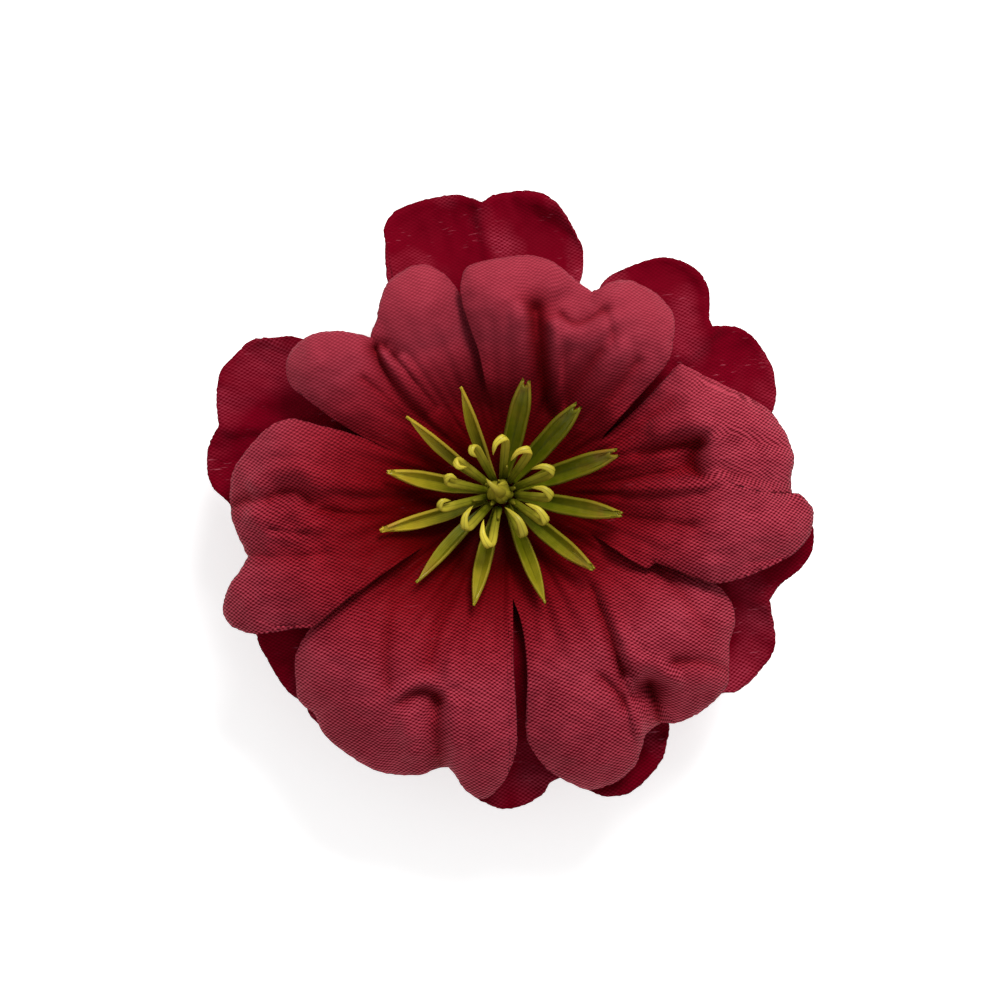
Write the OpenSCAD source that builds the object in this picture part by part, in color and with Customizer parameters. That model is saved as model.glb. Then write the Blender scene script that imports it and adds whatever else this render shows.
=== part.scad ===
// Flower hair clip: a fabric flower with a moulded centre on a sprung, toothed clip.
// Millimetres. +Z is the way the flower faces, +X runs from the hinge to the nose of the clip.
// The origin is on the surface that the clip's lever rests on, under the flower's axis.

/* [Flower] */
// Petals in each fabric layer
petal_count = 6; // [4:1:8]
// Radius of the lower fabric layer
lower_radius = 45; // [38:0.5:55]
// Radius of the upper fabric layer
upper_radius = 45; // [37:0.5:54]
// Thickness of a stiffened fabric layer
fabric = 0.6; // [0.4:0.1:1]
// Turn of the upper layer about the axis, in degrees
upper_turn = 8; // [0:1:59]
// Turn of the lower layer past the upper one, in degrees
layer_stagger = 30; // [0:1:59]

/* [Petal shape] */
// Gap between the lobes of neighbouring petals
lobe_gap = 2.1; // [1:0.1:4]
// Place of the middle of each of a petal's two lobes, as a share of half the petal's angle
lobe_share = 0.417; // [0.35:0.001:0.45]
// Width of the cut between two petals
slit = 1.2; // [0.6:0.1:2]
// Radius at which the cuts between petals start
slit_start = 12; // [9:0.5:16]
// Radius of a layer's flat hub
hub_radius = 5.5; // [5:0.1:8]
// Radius at which the upper layer is highest
upper_crest_radius = 27.5; // [22:0.5:32]
// Radius at which the lower layer is highest
lower_crest_radius = 28; // [22:0.5:34]
// Height of the upper layer's crest over its hub
upper_crest = 14; // [9:0.5:18]
// Fall of the upper layer from crest to rim
upper_droop = 8; // [3:0.5:12]
// Height of the lower layer's crest over its hub
lower_crest = 9.5; // [6:0.5:11]
// Fall of the lower layer from crest to rim
lower_droop = 8; // [4:0.5:12]
// Height of the spacer between the two layers
spacer_height = 2.6; // [1.5:0.1:5]
// Radius of the spacer
spacer_radius = 5; // [3:0.1:5]

/* [Green centre] */
// Leaflets in the outer ring, and hooks in the inner ring
leaflet_count = 12; // [8:1:14]
// Turn of the outer leaflets about the axis, in degrees
leaflet_turn = 19; // [0:1:29]
// Turn of the inner hooks about the axis, in degrees
hook_turn = 22; // [0:1:29]
// Radius at the tips of the outer leaflets
leaflet_reach = 17; // [13:0.5:21]
// Height of the leaflets' tips over the ring's hub
leaflet_rise = 11; // [8:0.5:15]
// Greatest width of a leaflet
leaflet_width = 2.8; // [1.6:0.1:3.2]
// Depth of the notch in a leaflet's tip
leaflet_notch = 2; // [1:0.1:3]
// Thickness of a leaflet or hook
leaflet_thickness = 0.8; // [0.5:0.1:1.2]
// Radius at the elbows of the inner hooks
hook_radius = 7.9; // [6.5:0.1:10]
// Height of the elbows over the hooks' hub
hook_rise = 8.5; // [6:0.5:11]
// Radius of the bend in a hook
hook_bend = 1.5; // [1.2:0.1:1.8]
// Width of a hook
hook_width = 1.5; // [1:0.1:1.9]
// Radius of the moulded hubs
ring_hub_radius = 3.4; // [3:0.1:4]
// Height of each moulded hub
ring_hub_height = 1.4; // [1:0.1:2.5]
// Radius of the bud
bud_radius = 2.5; // [2:0.1:3]
// Height of the bud
bud_height = 5.5; // [4:0.1:8]
// Radius of the stem under the bud
stem_radius = 1.3; // [1:0.05:1.6]
// Clearance around the stem in the pieces that it passes through
stem_clearance = 0.05; // [0.02:0.01:0.2]

/* [Backing] */
// Radius of the plastic back cap
cap_radius = 10; // [6:0.5:14]
// Thickness of the back cap
cap_thickness = 2; // [1.5:0.1:4]
// Radius of the felt disc
felt_radius = 17.5; // [12:0.5:22]
// Thickness of the felt disc
felt_thickness = 1.2; // [0.8:0.1:3]
// Thickness of the glue between cap and felt
cap_glue = 0.4; // [0.2:0.1:1]
// Thickness of the glue between felt and clip
clip_glue = 0.5; // [0.2:0.1:1]

/* [Clip] */
// Length of the clip
clip_length = 46; // [38:0.5:60]
// Length from the hinge to the rear end
lever_length = 14; // [11:0.5:17]
// Width of the upper arm and the lever
clip_width = 8; // [7:0.1:12]
// Thickness of the sheet steel
steel = 0.6; // [0.4:0.05:0.8]
// Gap between the plates at the nose
nose_gap = 1.2; // [0.8:0.1:2]
// Angle of the lever below the upper arm, in degrees
lever_angle = 20; // [16:1:30]
// Side clearance between the ears of the two arms
ear_clearance = 0.15; // [0.05:0.05:0.3]
// Radius of the ears around the hinge
ear_radius = 2.3; // [2:0.1:2.6]
// Drop of the upper arm's side flanges
flange_drop = 1.1; // [0.6:0.1:1.5]
// Pitch of the teeth
tooth_pitch = 1.8; // [1.2:0.1:3]
// Depth of the teeth
tooth_depth = 0.8; // [0.4:0.1:0.9]
// Radius of the hinge pin
pin_radius = 0.8; // [0.6:0.05:0.9]
// Clearance of the hinge pin in the lower arm
pin_clearance = 0.05; // [0.02:0.01:0.1]
// Radius of the hinge pin's heads
pin_head_radius = 1.4; // [1.1:0.1:2]
// Thickness of the hinge pin's heads
pin_head = 0.45; // [0.3:0.05:1]
// Diameter of the spring wire
wire = 0.8; // [0.6:0.05:0.9]
// Mean radius of the spring coil
coil_radius = 1.5; // [1.4:0.05:1.6]
// Clearance between each end of the coil and the ear beside it
coil_clearance = 0.15; // [0.1:0.05:0.4]
// Length of the spring's legs
spring_leg = 9; // [6:0.5:10]

/* [Hidden] */
$fn = 64;

touch = 0.1;        // play between a tooth's tip and the upper arm
overrun = 5;        // how far a cutting shape runs past what it cuts
profile_step = 2.5; // spacing of the points along a layer's section
lobe_steps = 8;     // straight steps round one lobe of a petal
nose_share = 0.35;  // radius of an arm's nose, as a share of its width

// The clip, in its own frame: the hinge axis is its origin, and the nose points along +X.
jaw_length = clip_length - lever_length;
arm_under = ear_radius + 0.6;              // height of the upper arm's underside
plate_top = -(ear_radius);                 // height of the lower plate's top, under the hinge
nose_top = arm_under - nose_gap;           // height of the lower plate's top at the nose
jaw_angle = atan((nose_top - plate_top) / jaw_length);
jaw_drop = steel / cos(jaw_angle);         // steel thickness, measured straight down
lever_drop = steel / cos(lever_angle);
inner_width = clip_width - 2 * steel - 2 * ear_clearance;
lever_end = [-lever_length * cos(lever_angle), plate_top - lever_length * sin(lever_angle)];
clip_bottom = lever_end[1] - lever_drop;
clip_top = arm_under + steel;

// Heights over the resting surface, from the bottom up.
hinge_z = -clip_bottom;
hinge_x = lever_length - clip_length / 2;
clip_glue_z = hinge_z + clip_top;
felt_z = clip_glue_z + clip_glue;
cap_glue_z = felt_z + felt_thickness;
cap_z = cap_glue_z + cap_glue;
lower_z = cap_z + cap_thickness;
spacer_z = lower_z + fabric;
upper_z = spacer_z + spacer_height;
leaflet_z = upper_z + fabric;
hook_z = leaflet_z + ring_hub_height;
bud_z = hook_z + ring_hub_height;

stem_bore = stem_radius + stem_clearance;

// ---- fabric layers ----

// Height of a layer over its hub at radius r: a slow rise from the hub to the crest, as half
// a cosine wave, then a quarter wave down to the rim.
function layer_height(r, rim, crest_at, crest, droop) =
    r <= hub_radius ? 0
    : r <= crest_at ? crest * (1 - cos(180 * (r - hub_radius) / (crest_at - hub_radius))) / 2
    : crest - droop * (1 - cos(90 * (r - crest_at) / (rim - crest_at)));

function layer_radii(rim) = concat([stem_bore], [for (r = [hub_radius : profile_step : rim]) r], [rim + 1]);

module layer_section(rim, crest_at, crest, droop) {
    radii = layer_radii(rim);
    under = [for (r = radii) [r, layer_height(r, rim, crest_at, crest, droop)]];
    over = [for (i = [len(under) - 1 : -1 : 0]) under[i] + [0, fabric]];
    polygon(concat(under, over));
}

function polar(r, a) = r * [cos(a), sin(a)];

petal_half = 180 / petal_count;
lobe_angle = lobe_share * petal_half;

// Radius of a lobe that reaches the rim and leaves half the lobe gap to the middle of the slit.
function lobe_radius(rim) =
    let (room = sin(petal_half - lobe_angle)) (rim * room - lobe_gap / 2) / (1 + room);

// Points along one lobe of a petal that lies along +X: the lobe on the left, from the notch
// round to where a straight flank from the root of the slit touches it.
function lobe_arc(rim) =
    let (radius = lobe_radius(rim),
         middle = polar(rim - radius, lobe_angle),
         to_root = slit_root() - middle,
         first = -asin(middle[1] / radius),
         last = (atan2(to_root[1], to_root[0]) - acos(radius / norm(to_root)) + 360) % 360)
    [for (i = [0 : lobe_steps]) middle + polar(radius, first + (last - first) * i / lobe_steps)];

// Where a petal's left flank leaves the slit.
function slit_root() =
    polar(slit_start, petal_half) + slit / 2 * [sin(petal_half), -cos(petal_half)];

function petal_points(rim) =
    let (left = concat(lobe_arc(rim), [slit_root()]),
         right = [for (i = [len(left) - 1 : -1 : 1]) [left[i][0], -left[i][1]]])
    concat(right, left);

module layer_outline(rim) {
    petal = petal_points(rim);
    polygon([for (i = [0 : petal_count - 1], p = petal)
        let (a = i * 360 / petal_count)
        [p[0] * cos(a) - p[1] * sin(a), p[0] * sin(a) + p[1] * cos(a)]]);
}

module petal_layer(rim, crest_at, crest, droop) {
    intersection() {
        rotate_extrude() layer_section(rim, crest_at, crest, droop);
        translate([0, 0, -droop - overrun])
            linear_extrude(crest + droop + 2 * overrun) layer_outline(rim);
    }
}

module upper_petal_layer() {
    color([0.62, 0.16, 0.24])
        translate([0, 0, upper_z]) rotate(upper_turn)
            petal_layer(upper_radius, upper_crest_radius, upper_crest, upper_droop);
}

module lower_petal_layer() {
    color([0.52, 0.02, 0.09])
        translate([0, 0, lower_z]) rotate(upper_turn + layer_stagger)
            petal_layer(lower_radius, lower_crest_radius, lower_crest, lower_droop);
}

module ring(outer, inner, height) {
    difference() {
        cylinder(r = outer, h = height);
        translate([0, 0, -overrun]) cylinder(r = inner, h = height + 2 * overrun);
    }
}

module petal_spacer() {
    color([0.5, 0.56, 0.22])
        translate([0, 0, spacer_z]) ring(spacer_radius, stem_bore, spacer_height);
}

// ---- moulded centre ----

// Section of a blade that follows the points given, leaflet_thickness deep across its line.
module blade_section(line) {
    count = len(line);
    function along(i) = line[min(i + 1, count - 1)] - line[max(i - 1, 0)];
    function across(i) = let (d = along(i)) [-d[1], d[0]] / norm(d) * leaflet_thickness / 2;
    polygon(concat([for (i = [0 : count - 1]) line[i] + across(i)],
                   [for (i = [count - 1 : -1 : 0]) line[i] - across(i)]));
}

// Blades all round the axis: a turned section, kept only inside a plan that is repeated.
module blade_ring(line, height) {
    intersection() {
        rotate_extrude() blade_section(line);
        translate([0, 0, -overrun]) linear_extrude(height + 2 * overrun)
            for (i = [0 : leaflet_count - 1]) rotate(i * 360 / leaflet_count) children();
    }
}

leaflet_root = ring_hub_radius - 1;
// A leaflet leaves the foot of its hub, below the next ring, and steepens as it goes out.
leaflet_line = [for (u = [0 : 0.125 : 1])
    [leaflet_root + u * (leaflet_reach - leaflet_root),
     leaflet_thickness / 2 + 0.1 + leaflet_rise * (0.4 * u + 0.6 * u * u)]];

module leaflet_plan() {
    half = leaflet_width / 2;
    tip = leaflet_reach;
    polygon([[leaflet_root, 0.8], [0.45 * tip, 0.7 * half], [0.7 * tip, half], [0.86 * tip, 0.85 * half],
             [tip, 0.35 * half], [tip - leaflet_notch, 0],
             [tip, -0.35 * half], [0.86 * tip, -0.85 * half], [0.7 * tip, -half],
             [0.45 * tip, -0.7 * half], [leaflet_root, -0.8]]);
}

module outer_leaflet_ring() {
    color([0.42, 0.5, 0.1])
        translate([0, 0, leaflet_z]) {
            ring(ring_hub_radius, stem_bore, ring_hub_height);
            rotate(leaflet_turn) blade_ring(leaflet_line, leaflet_rise) leaflet_plan();
        }
}

// A hook climbs outwards to its elbow, then bends over through most of a half circle.
hook_root = [ring_hub_radius - 1, ring_hub_height / 2];
hook_centre = [hook_radius - hook_bend, hook_rise - hook_bend];
hook_line = concat([hook_root, (hook_root + hook_centre + [hook_bend, 0]) / 2],
                   [for (a = [-10 : 20 : 170]) hook_centre + hook_bend * [cos(a), sin(a)]]);

module hook_plan() {
    translate([hook_root[0], -hook_width / 2]) square([hook_radius, hook_width]);
}

module inner_hook_ring() {
    color([0.56, 0.6, 0.16])
        translate([0, 0, hook_z]) {
            ring(ring_hub_radius, stem_bore, ring_hub_height);
            rotate(hook_turn) blade_ring(hook_line, hook_rise) hook_plan();
        }
}

// The bud stands on its stem, which runs down through the whole flower into the back cap.
module centre_bud() {
    stem_length = bud_z - cap_z - cap_thickness / 2;
    color([0.6, 0.62, 0.2])
        translate([0, 0, bud_z]) {
            rotate_extrude()
                polygon(concat([[0, 0]], [for (a = [0 : 15 : 90])
                    [bud_radius * cos(a) * (1 + 0.15 * sin(2 * a)), bud_height * sin(a)]]));
            translate([0, 0, -stem_length]) cylinder(r = stem_radius, h = stem_length + 1);
        }
}

// ---- backing ----

module back_cap() {
    color([0.36, 0.44, 0.16])
        translate([0, 0, cap_z]) difference() {
            cylinder(r = cap_radius, h = cap_thickness);
            translate([0, 0, cap_thickness / 2]) cylinder(r = stem_radius, h = cap_thickness);
        }
}

module cap_glue_layer() {
    color([0.9, 0.88, 0.8])
        translate([0, 0, cap_glue_z]) cylinder(r = cap_radius - 0.5, h = cap_glue);
}

module felt_disc() {
    color([0.3, 0.03, 0.07])
        translate([0, 0, felt_z]) cylinder(r = felt_radius, h = felt_thickness);
}

module clip_glue_bead() {
    bead_width = clip_width - 1.5;
    bead_length = 2 * felt_radius - 9;
    color([0.9, 0.88, 0.8])
        translate([0, 0, clip_glue_z]) {
            translate([-bead_length / 2, -bead_width / 2, 0]) cube([bead_length, bead_width, clip_glue]);
            for (side = [-1, 1])
                translate([side * bead_length / 2, 0, 0]) cylinder(d = bead_width, h = clip_glue);
        }
}

// ---- clip ----

// Everything in the clip is drawn about the hinge axis and moved here.
module at_hinge() { translate([hinge_x, 0, hinge_z]) children(); }

// A side view in X and Z, given depth along Y about the middle.
module side_plate(depth, offset_y = 0) {
    translate([0, offset_y + depth / 2, 0]) rotate([90, 0, 0]) linear_extrude(depth) children();
}

module across_hinge(radius, length) {
    rotate([90, 0, 0]) cylinder(r = radius, h = length, center = true);
}

// Where an arm of a given width starts to narrow towards its nose.
function taper_start(width) = jaw_length - 3 * nose_share * width;

// Plan of an arm: straight from its rear end, then drawn in to a narrower round nose.
module arm_plan(rear, width) {
    nose = nose_share * width;
    corner = 0.2 * width;
    translate([jaw_length - nose, 0]) circle(r = nose);
    polygon([[rear + corner, width / 2], [taper_start(width), width / 2], [jaw_length - nose, 0.97 * nose],
             [jaw_length - nose, -0.97 * nose], [taper_start(width), -width / 2], [rear + corner, -width / 2],
             [rear, -width / 2 + corner], [rear, width / 2 - corner]]);
}

module clip_upper_arm() {
    flange_start = 3 * ear_radius;
    flange_end = taper_start(clip_width) - flange_drop;
    color([0.8, 0.8, 0.82]) at_hinge() difference() {
        union() {
            translate([0, 0, arm_under]) linear_extrude(steel) arm_plan(-lever_length, clip_width);
            for (side = [-1, 1]) {
                offset_y = side * (clip_width - steel) / 2;
                side_plate(steel, offset_y) {
                    circle(r = ear_radius);
                    translate([-ear_radius, 0]) square([2 * ear_radius, clip_top - steel / 2]);
                }
                side_plate(steel, offset_y)
                    polygon([[ear_radius - 0.5, clip_top - steel / 2], [ear_radius - 0.5, arm_under - flange_drop],
                             [flange_start, arm_under - flange_drop], [flange_end, arm_under - flange_drop],
                             [flange_end + flange_drop, clip_top - steel / 2]]);
            }
        }
        across_hinge(pin_radius, clip_width + overrun);
    }
}

// Height of the lower plate's top at a distance in front of the hinge.
function jaw_top(x) = plate_top + x * tan(jaw_angle);

// Side view of one toothed flange, with the web that joins it to its ear.
module tooth_row() {
    start = 2 * ear_radius;
    crest = arm_under - touch;
    count = floor((taper_start(inner_width) - start) / tooth_pitch);
    finish = start + count * tooth_pitch;
    teeth = [for (i = [0 : count - 1], step = [0, 1])
        [start + (i + step) * tooth_pitch, crest - step * tooth_depth]];
    polygon(concat([[0, jaw_top(0) - steel / 2], [0, 0], [0.6 * start, 0]], teeth,
                   [[finish, jaw_top(finish) - steel / 2]]));
}

module lever_grips() {
    grip_radius = 0.35;
    for (i = [1 : 3]) {
        distance = lever_length - 1.2 * i - 0.6;
        translate([-distance * cos(lever_angle), 0, plate_top - distance * sin(lever_angle) - steel * cos(lever_angle)])
            across_hinge(grip_radius, clip_width - 3);
    }
}

// The jaw plate in side view, with a lip turned up at its nose to meet the upper arm.
module jaw_side() {
    overlap = -1;
    lip = jaw_length - steel;
    polygon([[overlap, plate_top + overlap * tan(lever_angle)], [0, plate_top],
             [lip, jaw_top(lip)], [lip, arm_under - touch], [jaw_length, arm_under - touch],
             [jaw_length, nose_top - jaw_drop], [0, plate_top - jaw_drop],
             [overlap, plate_top - jaw_drop + overlap * tan(lever_angle)]]);
}

module lever_plan() {
    wide_end = -1.3 * ear_radius;
    round_middle = lever_end[0] + clip_width / 2;
    translate([round_middle, 0]) circle(d = clip_width);
    translate([round_middle, -clip_width / 2]) square([wide_end - round_middle, clip_width]);
    translate([wide_end - 1, -inner_width / 2]) square([1 - wide_end, inner_width]);
}

// The lower arm: a jaw plate and a lever plate, each a side view cut to its plan, with an ear
// and a row of teeth along each side.
module clip_lower_arm() {
    color([0.78, 0.78, 0.8]) at_hinge() difference() {
        union() {
            intersection() {
                side_plate(inner_width) jaw_side();
                translate([0, 0, plate_top - overrun]) linear_extrude(3 * overrun)
                    arm_plan(-2 * ear_radius, inner_width);
            }
            intersection() {
                side_plate(clip_width)
                    polygon([[0, plate_top], lever_end, lever_end - [0, lever_drop], [0, plate_top - jaw_drop]]);
                translate([0, 0, clip_bottom - overrun]) linear_extrude(3 * overrun) lever_plan();
            }
            for (side = [-1, 1])
                side_plate(steel, side * (inner_width - steel) / 2) {
                    circle(r = ear_radius - 0.1);
                    translate([0.1 - ear_radius, plate_top - steel / 2])
                        square([ear_radius, steel / 2 - plate_top]);
                    tooth_row();
                }
            lever_grips();
        }
        across_hinge(pin_radius + pin_clearance, clip_width + overrun);
    }
}

module hinge_pin() {
    color([0.72, 0.72, 0.74]) at_hinge() {
        across_hinge(pin_radius, clip_width + pin_head);
        for (side = [-1, 1])
            translate([0, side * (clip_width + pin_head) / 2, 0]) across_hinge(pin_head_radius, pin_head);
    }
}

// Angle at which a line from a point touches the coil's mean circle, on one side of it.
function touch_angle(point, side) =
    atan2(point[1], point[0]) + side * acos(coil_radius / norm(point));

module torsion_spring() {
    seat = wire / 2 + 0.05;
    upper_foot = [-spring_leg, arm_under - seat];
    lower_foot = [-spring_leg * cos(lever_angle) - seat * sin(lever_angle),
                  plate_top - spring_leg * sin(lever_angle) + seat * cos(lever_angle)];
    start = touch_angle(upper_foot, -1);
    stop = touch_angle(lower_foot, 1) - 360;
    // The coil has as many whole turns as there is room for between the ears.
    pitch = 1.06 * wire;
    room = inner_width - 2 * steel - 2 * coil_clearance - wire;
    turns = floor(room / pitch - (start - stop) / 360);
    sweep = start - stop + 360 * turns;
    half = pitch * sweep / 720;
    steps = 16 * (turns + 1);
    sides = 8;
    // A ring is [x, y, z, angle of its outward direction].
    path = concat(
        [[upper_foot[0], -half, upper_foot[1], start]],
        [for (i = [0 : steps]) let (a = start - sweep * i / steps)
            [coil_radius * cos(a), -half + 2 * half * i / steps, coil_radius * sin(a), a]],
        [[lower_foot[0], half, lower_foot[1], stop]]);
    points = [for (p = path, k = [0 : sides - 1])
        let (b = 360 * k / sides, out = wire / 2 * cos(b))
            [p[0] + out * cos(p[3]), p[1] + wire / 2 * sin(b), p[2] + out * sin(p[3])]];
    last = len(path) - 1;
    walls = [for (i = [0 : last - 1], k = [0 : sides - 1]) let (n = (k + 1) % sides)
        [i * sides + k, (i + 1) * sides + k, (i + 1) * sides + n, i * sides + n]];
    caps = [[for (k = [0 : sides - 1]) k], [for (k = [sides - 1 : -1 : 0]) last * sides + k]];
    color([0.7, 0.7, 0.72]) at_hinge() polyhedron(points = points, faces = concat(walls, caps));
}

upper_petal_layer();
lower_petal_layer();
petal_spacer();
outer_leaflet_ring();
inner_hook_ring();
centre_bud();
back_cap();
cap_glue_layer();
felt_disc();
clip_glue_bead();
clip_upper_arm();
clip_lower_arm();
hinge_pin();
torsion_spring();
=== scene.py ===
"""Looks for a fabric flower on a sprung hair clip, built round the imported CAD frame."""

import math

import bmesh
import bpy
import numpy as np
from bpy.props import FloatProperty, FloatVectorProperty, IntProperty, PointerProperty
from bpy.types import Operator, Panel, PropertyGroup
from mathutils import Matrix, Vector


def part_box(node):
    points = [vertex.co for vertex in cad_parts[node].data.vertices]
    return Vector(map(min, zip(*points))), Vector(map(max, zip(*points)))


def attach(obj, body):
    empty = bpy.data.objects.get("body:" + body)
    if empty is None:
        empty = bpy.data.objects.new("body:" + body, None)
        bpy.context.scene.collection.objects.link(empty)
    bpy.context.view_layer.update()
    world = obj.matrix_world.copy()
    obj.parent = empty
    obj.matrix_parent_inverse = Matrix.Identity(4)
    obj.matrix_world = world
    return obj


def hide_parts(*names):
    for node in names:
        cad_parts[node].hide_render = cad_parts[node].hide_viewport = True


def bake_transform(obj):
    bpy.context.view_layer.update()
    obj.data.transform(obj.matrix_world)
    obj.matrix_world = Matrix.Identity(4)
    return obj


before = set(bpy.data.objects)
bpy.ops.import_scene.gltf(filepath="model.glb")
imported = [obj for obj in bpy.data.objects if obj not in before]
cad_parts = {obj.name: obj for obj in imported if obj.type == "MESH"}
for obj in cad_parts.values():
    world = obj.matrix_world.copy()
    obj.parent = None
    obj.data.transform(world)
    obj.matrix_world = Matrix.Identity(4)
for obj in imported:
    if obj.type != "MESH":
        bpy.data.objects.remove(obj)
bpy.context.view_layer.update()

bl_info = {
    "name": "Flower Hair Clip",
    "version": (1, 0, 0),
    "blender": (4, 5, 0),
    "location": "3D View > Sidebar > Flower Clip",
    "description": "Builds the cloth petals, moulded centre, backing and steel clip of a flower hair clip",
    "category": "Object",
}

MM = 0.001
FLOWER_BODY = "flower_and_upper_arm"

# Lengths from here on are in millimetres, unless a comment says otherwise.
HUB_RADIUS = 1.6  # the petals' hole, round the stem
ROOT_ROWS = 26  # rows of a petal's grid along its straight root lines
ROOT_END = 15.9  # radius beyond which a petal is free of its neighbours
OUTLINE_STEPS = 160  # points along each half of a petal's outline
ROUGHNESS = 0.04  # unevenness of the cut edge
FOLD_UP = 1.5  # greatest height of folds that meet
FOLD_DOWN = 4.5  # greatest depth of folds that meet
CLOTH_MIDDLE = 0.3  # height of the cloth's middle over its CAD node's foot
WEAVE_TURN = 7.5  # degrees between the warp and the X axis
LEAFLET_ROOT = 2.4  # radius at which a leaflet leaves its hub
LEAFLET_GRID = (34, 17)  # rows along a leaflet, columns across it
LEAFLET_SHEET = 0.00045  # thickness of a leaflet, in metres
BUD_RADIUS = 1.75
BUD_GRID = (34, 72)  # rows up the bud, columns round it
STEM_WIDTH = 2.6
FELT_GRID = (26, 180)  # rows from the middle out, columns round
GLUE_GRID = (11, 120)  # rows up a band of glue, columns round it
SPRING_WIRE = 0.8
SPRING_LEG = 9.0
LEVER_ANGLE = 20  # degrees below the upper arm
LEVER_DROP = 2.3  # from the hinge's axis down to the lever's upper side
FLOOR_POINTS = 61  # points along each side of the floor
FLOOR_REACH = 3.0  # half the floor's side, in metres
FLOOR_FLAT = 1.4  # radius of its flat middle, in metres
AIM = (0, 0, 0.02)  # the point that the lights face, in metres

# The petals' outlines lie about this point, a little off the stem (millimetres).
PETAL_CENTRE = np.array([0.9, 0.15])

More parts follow.
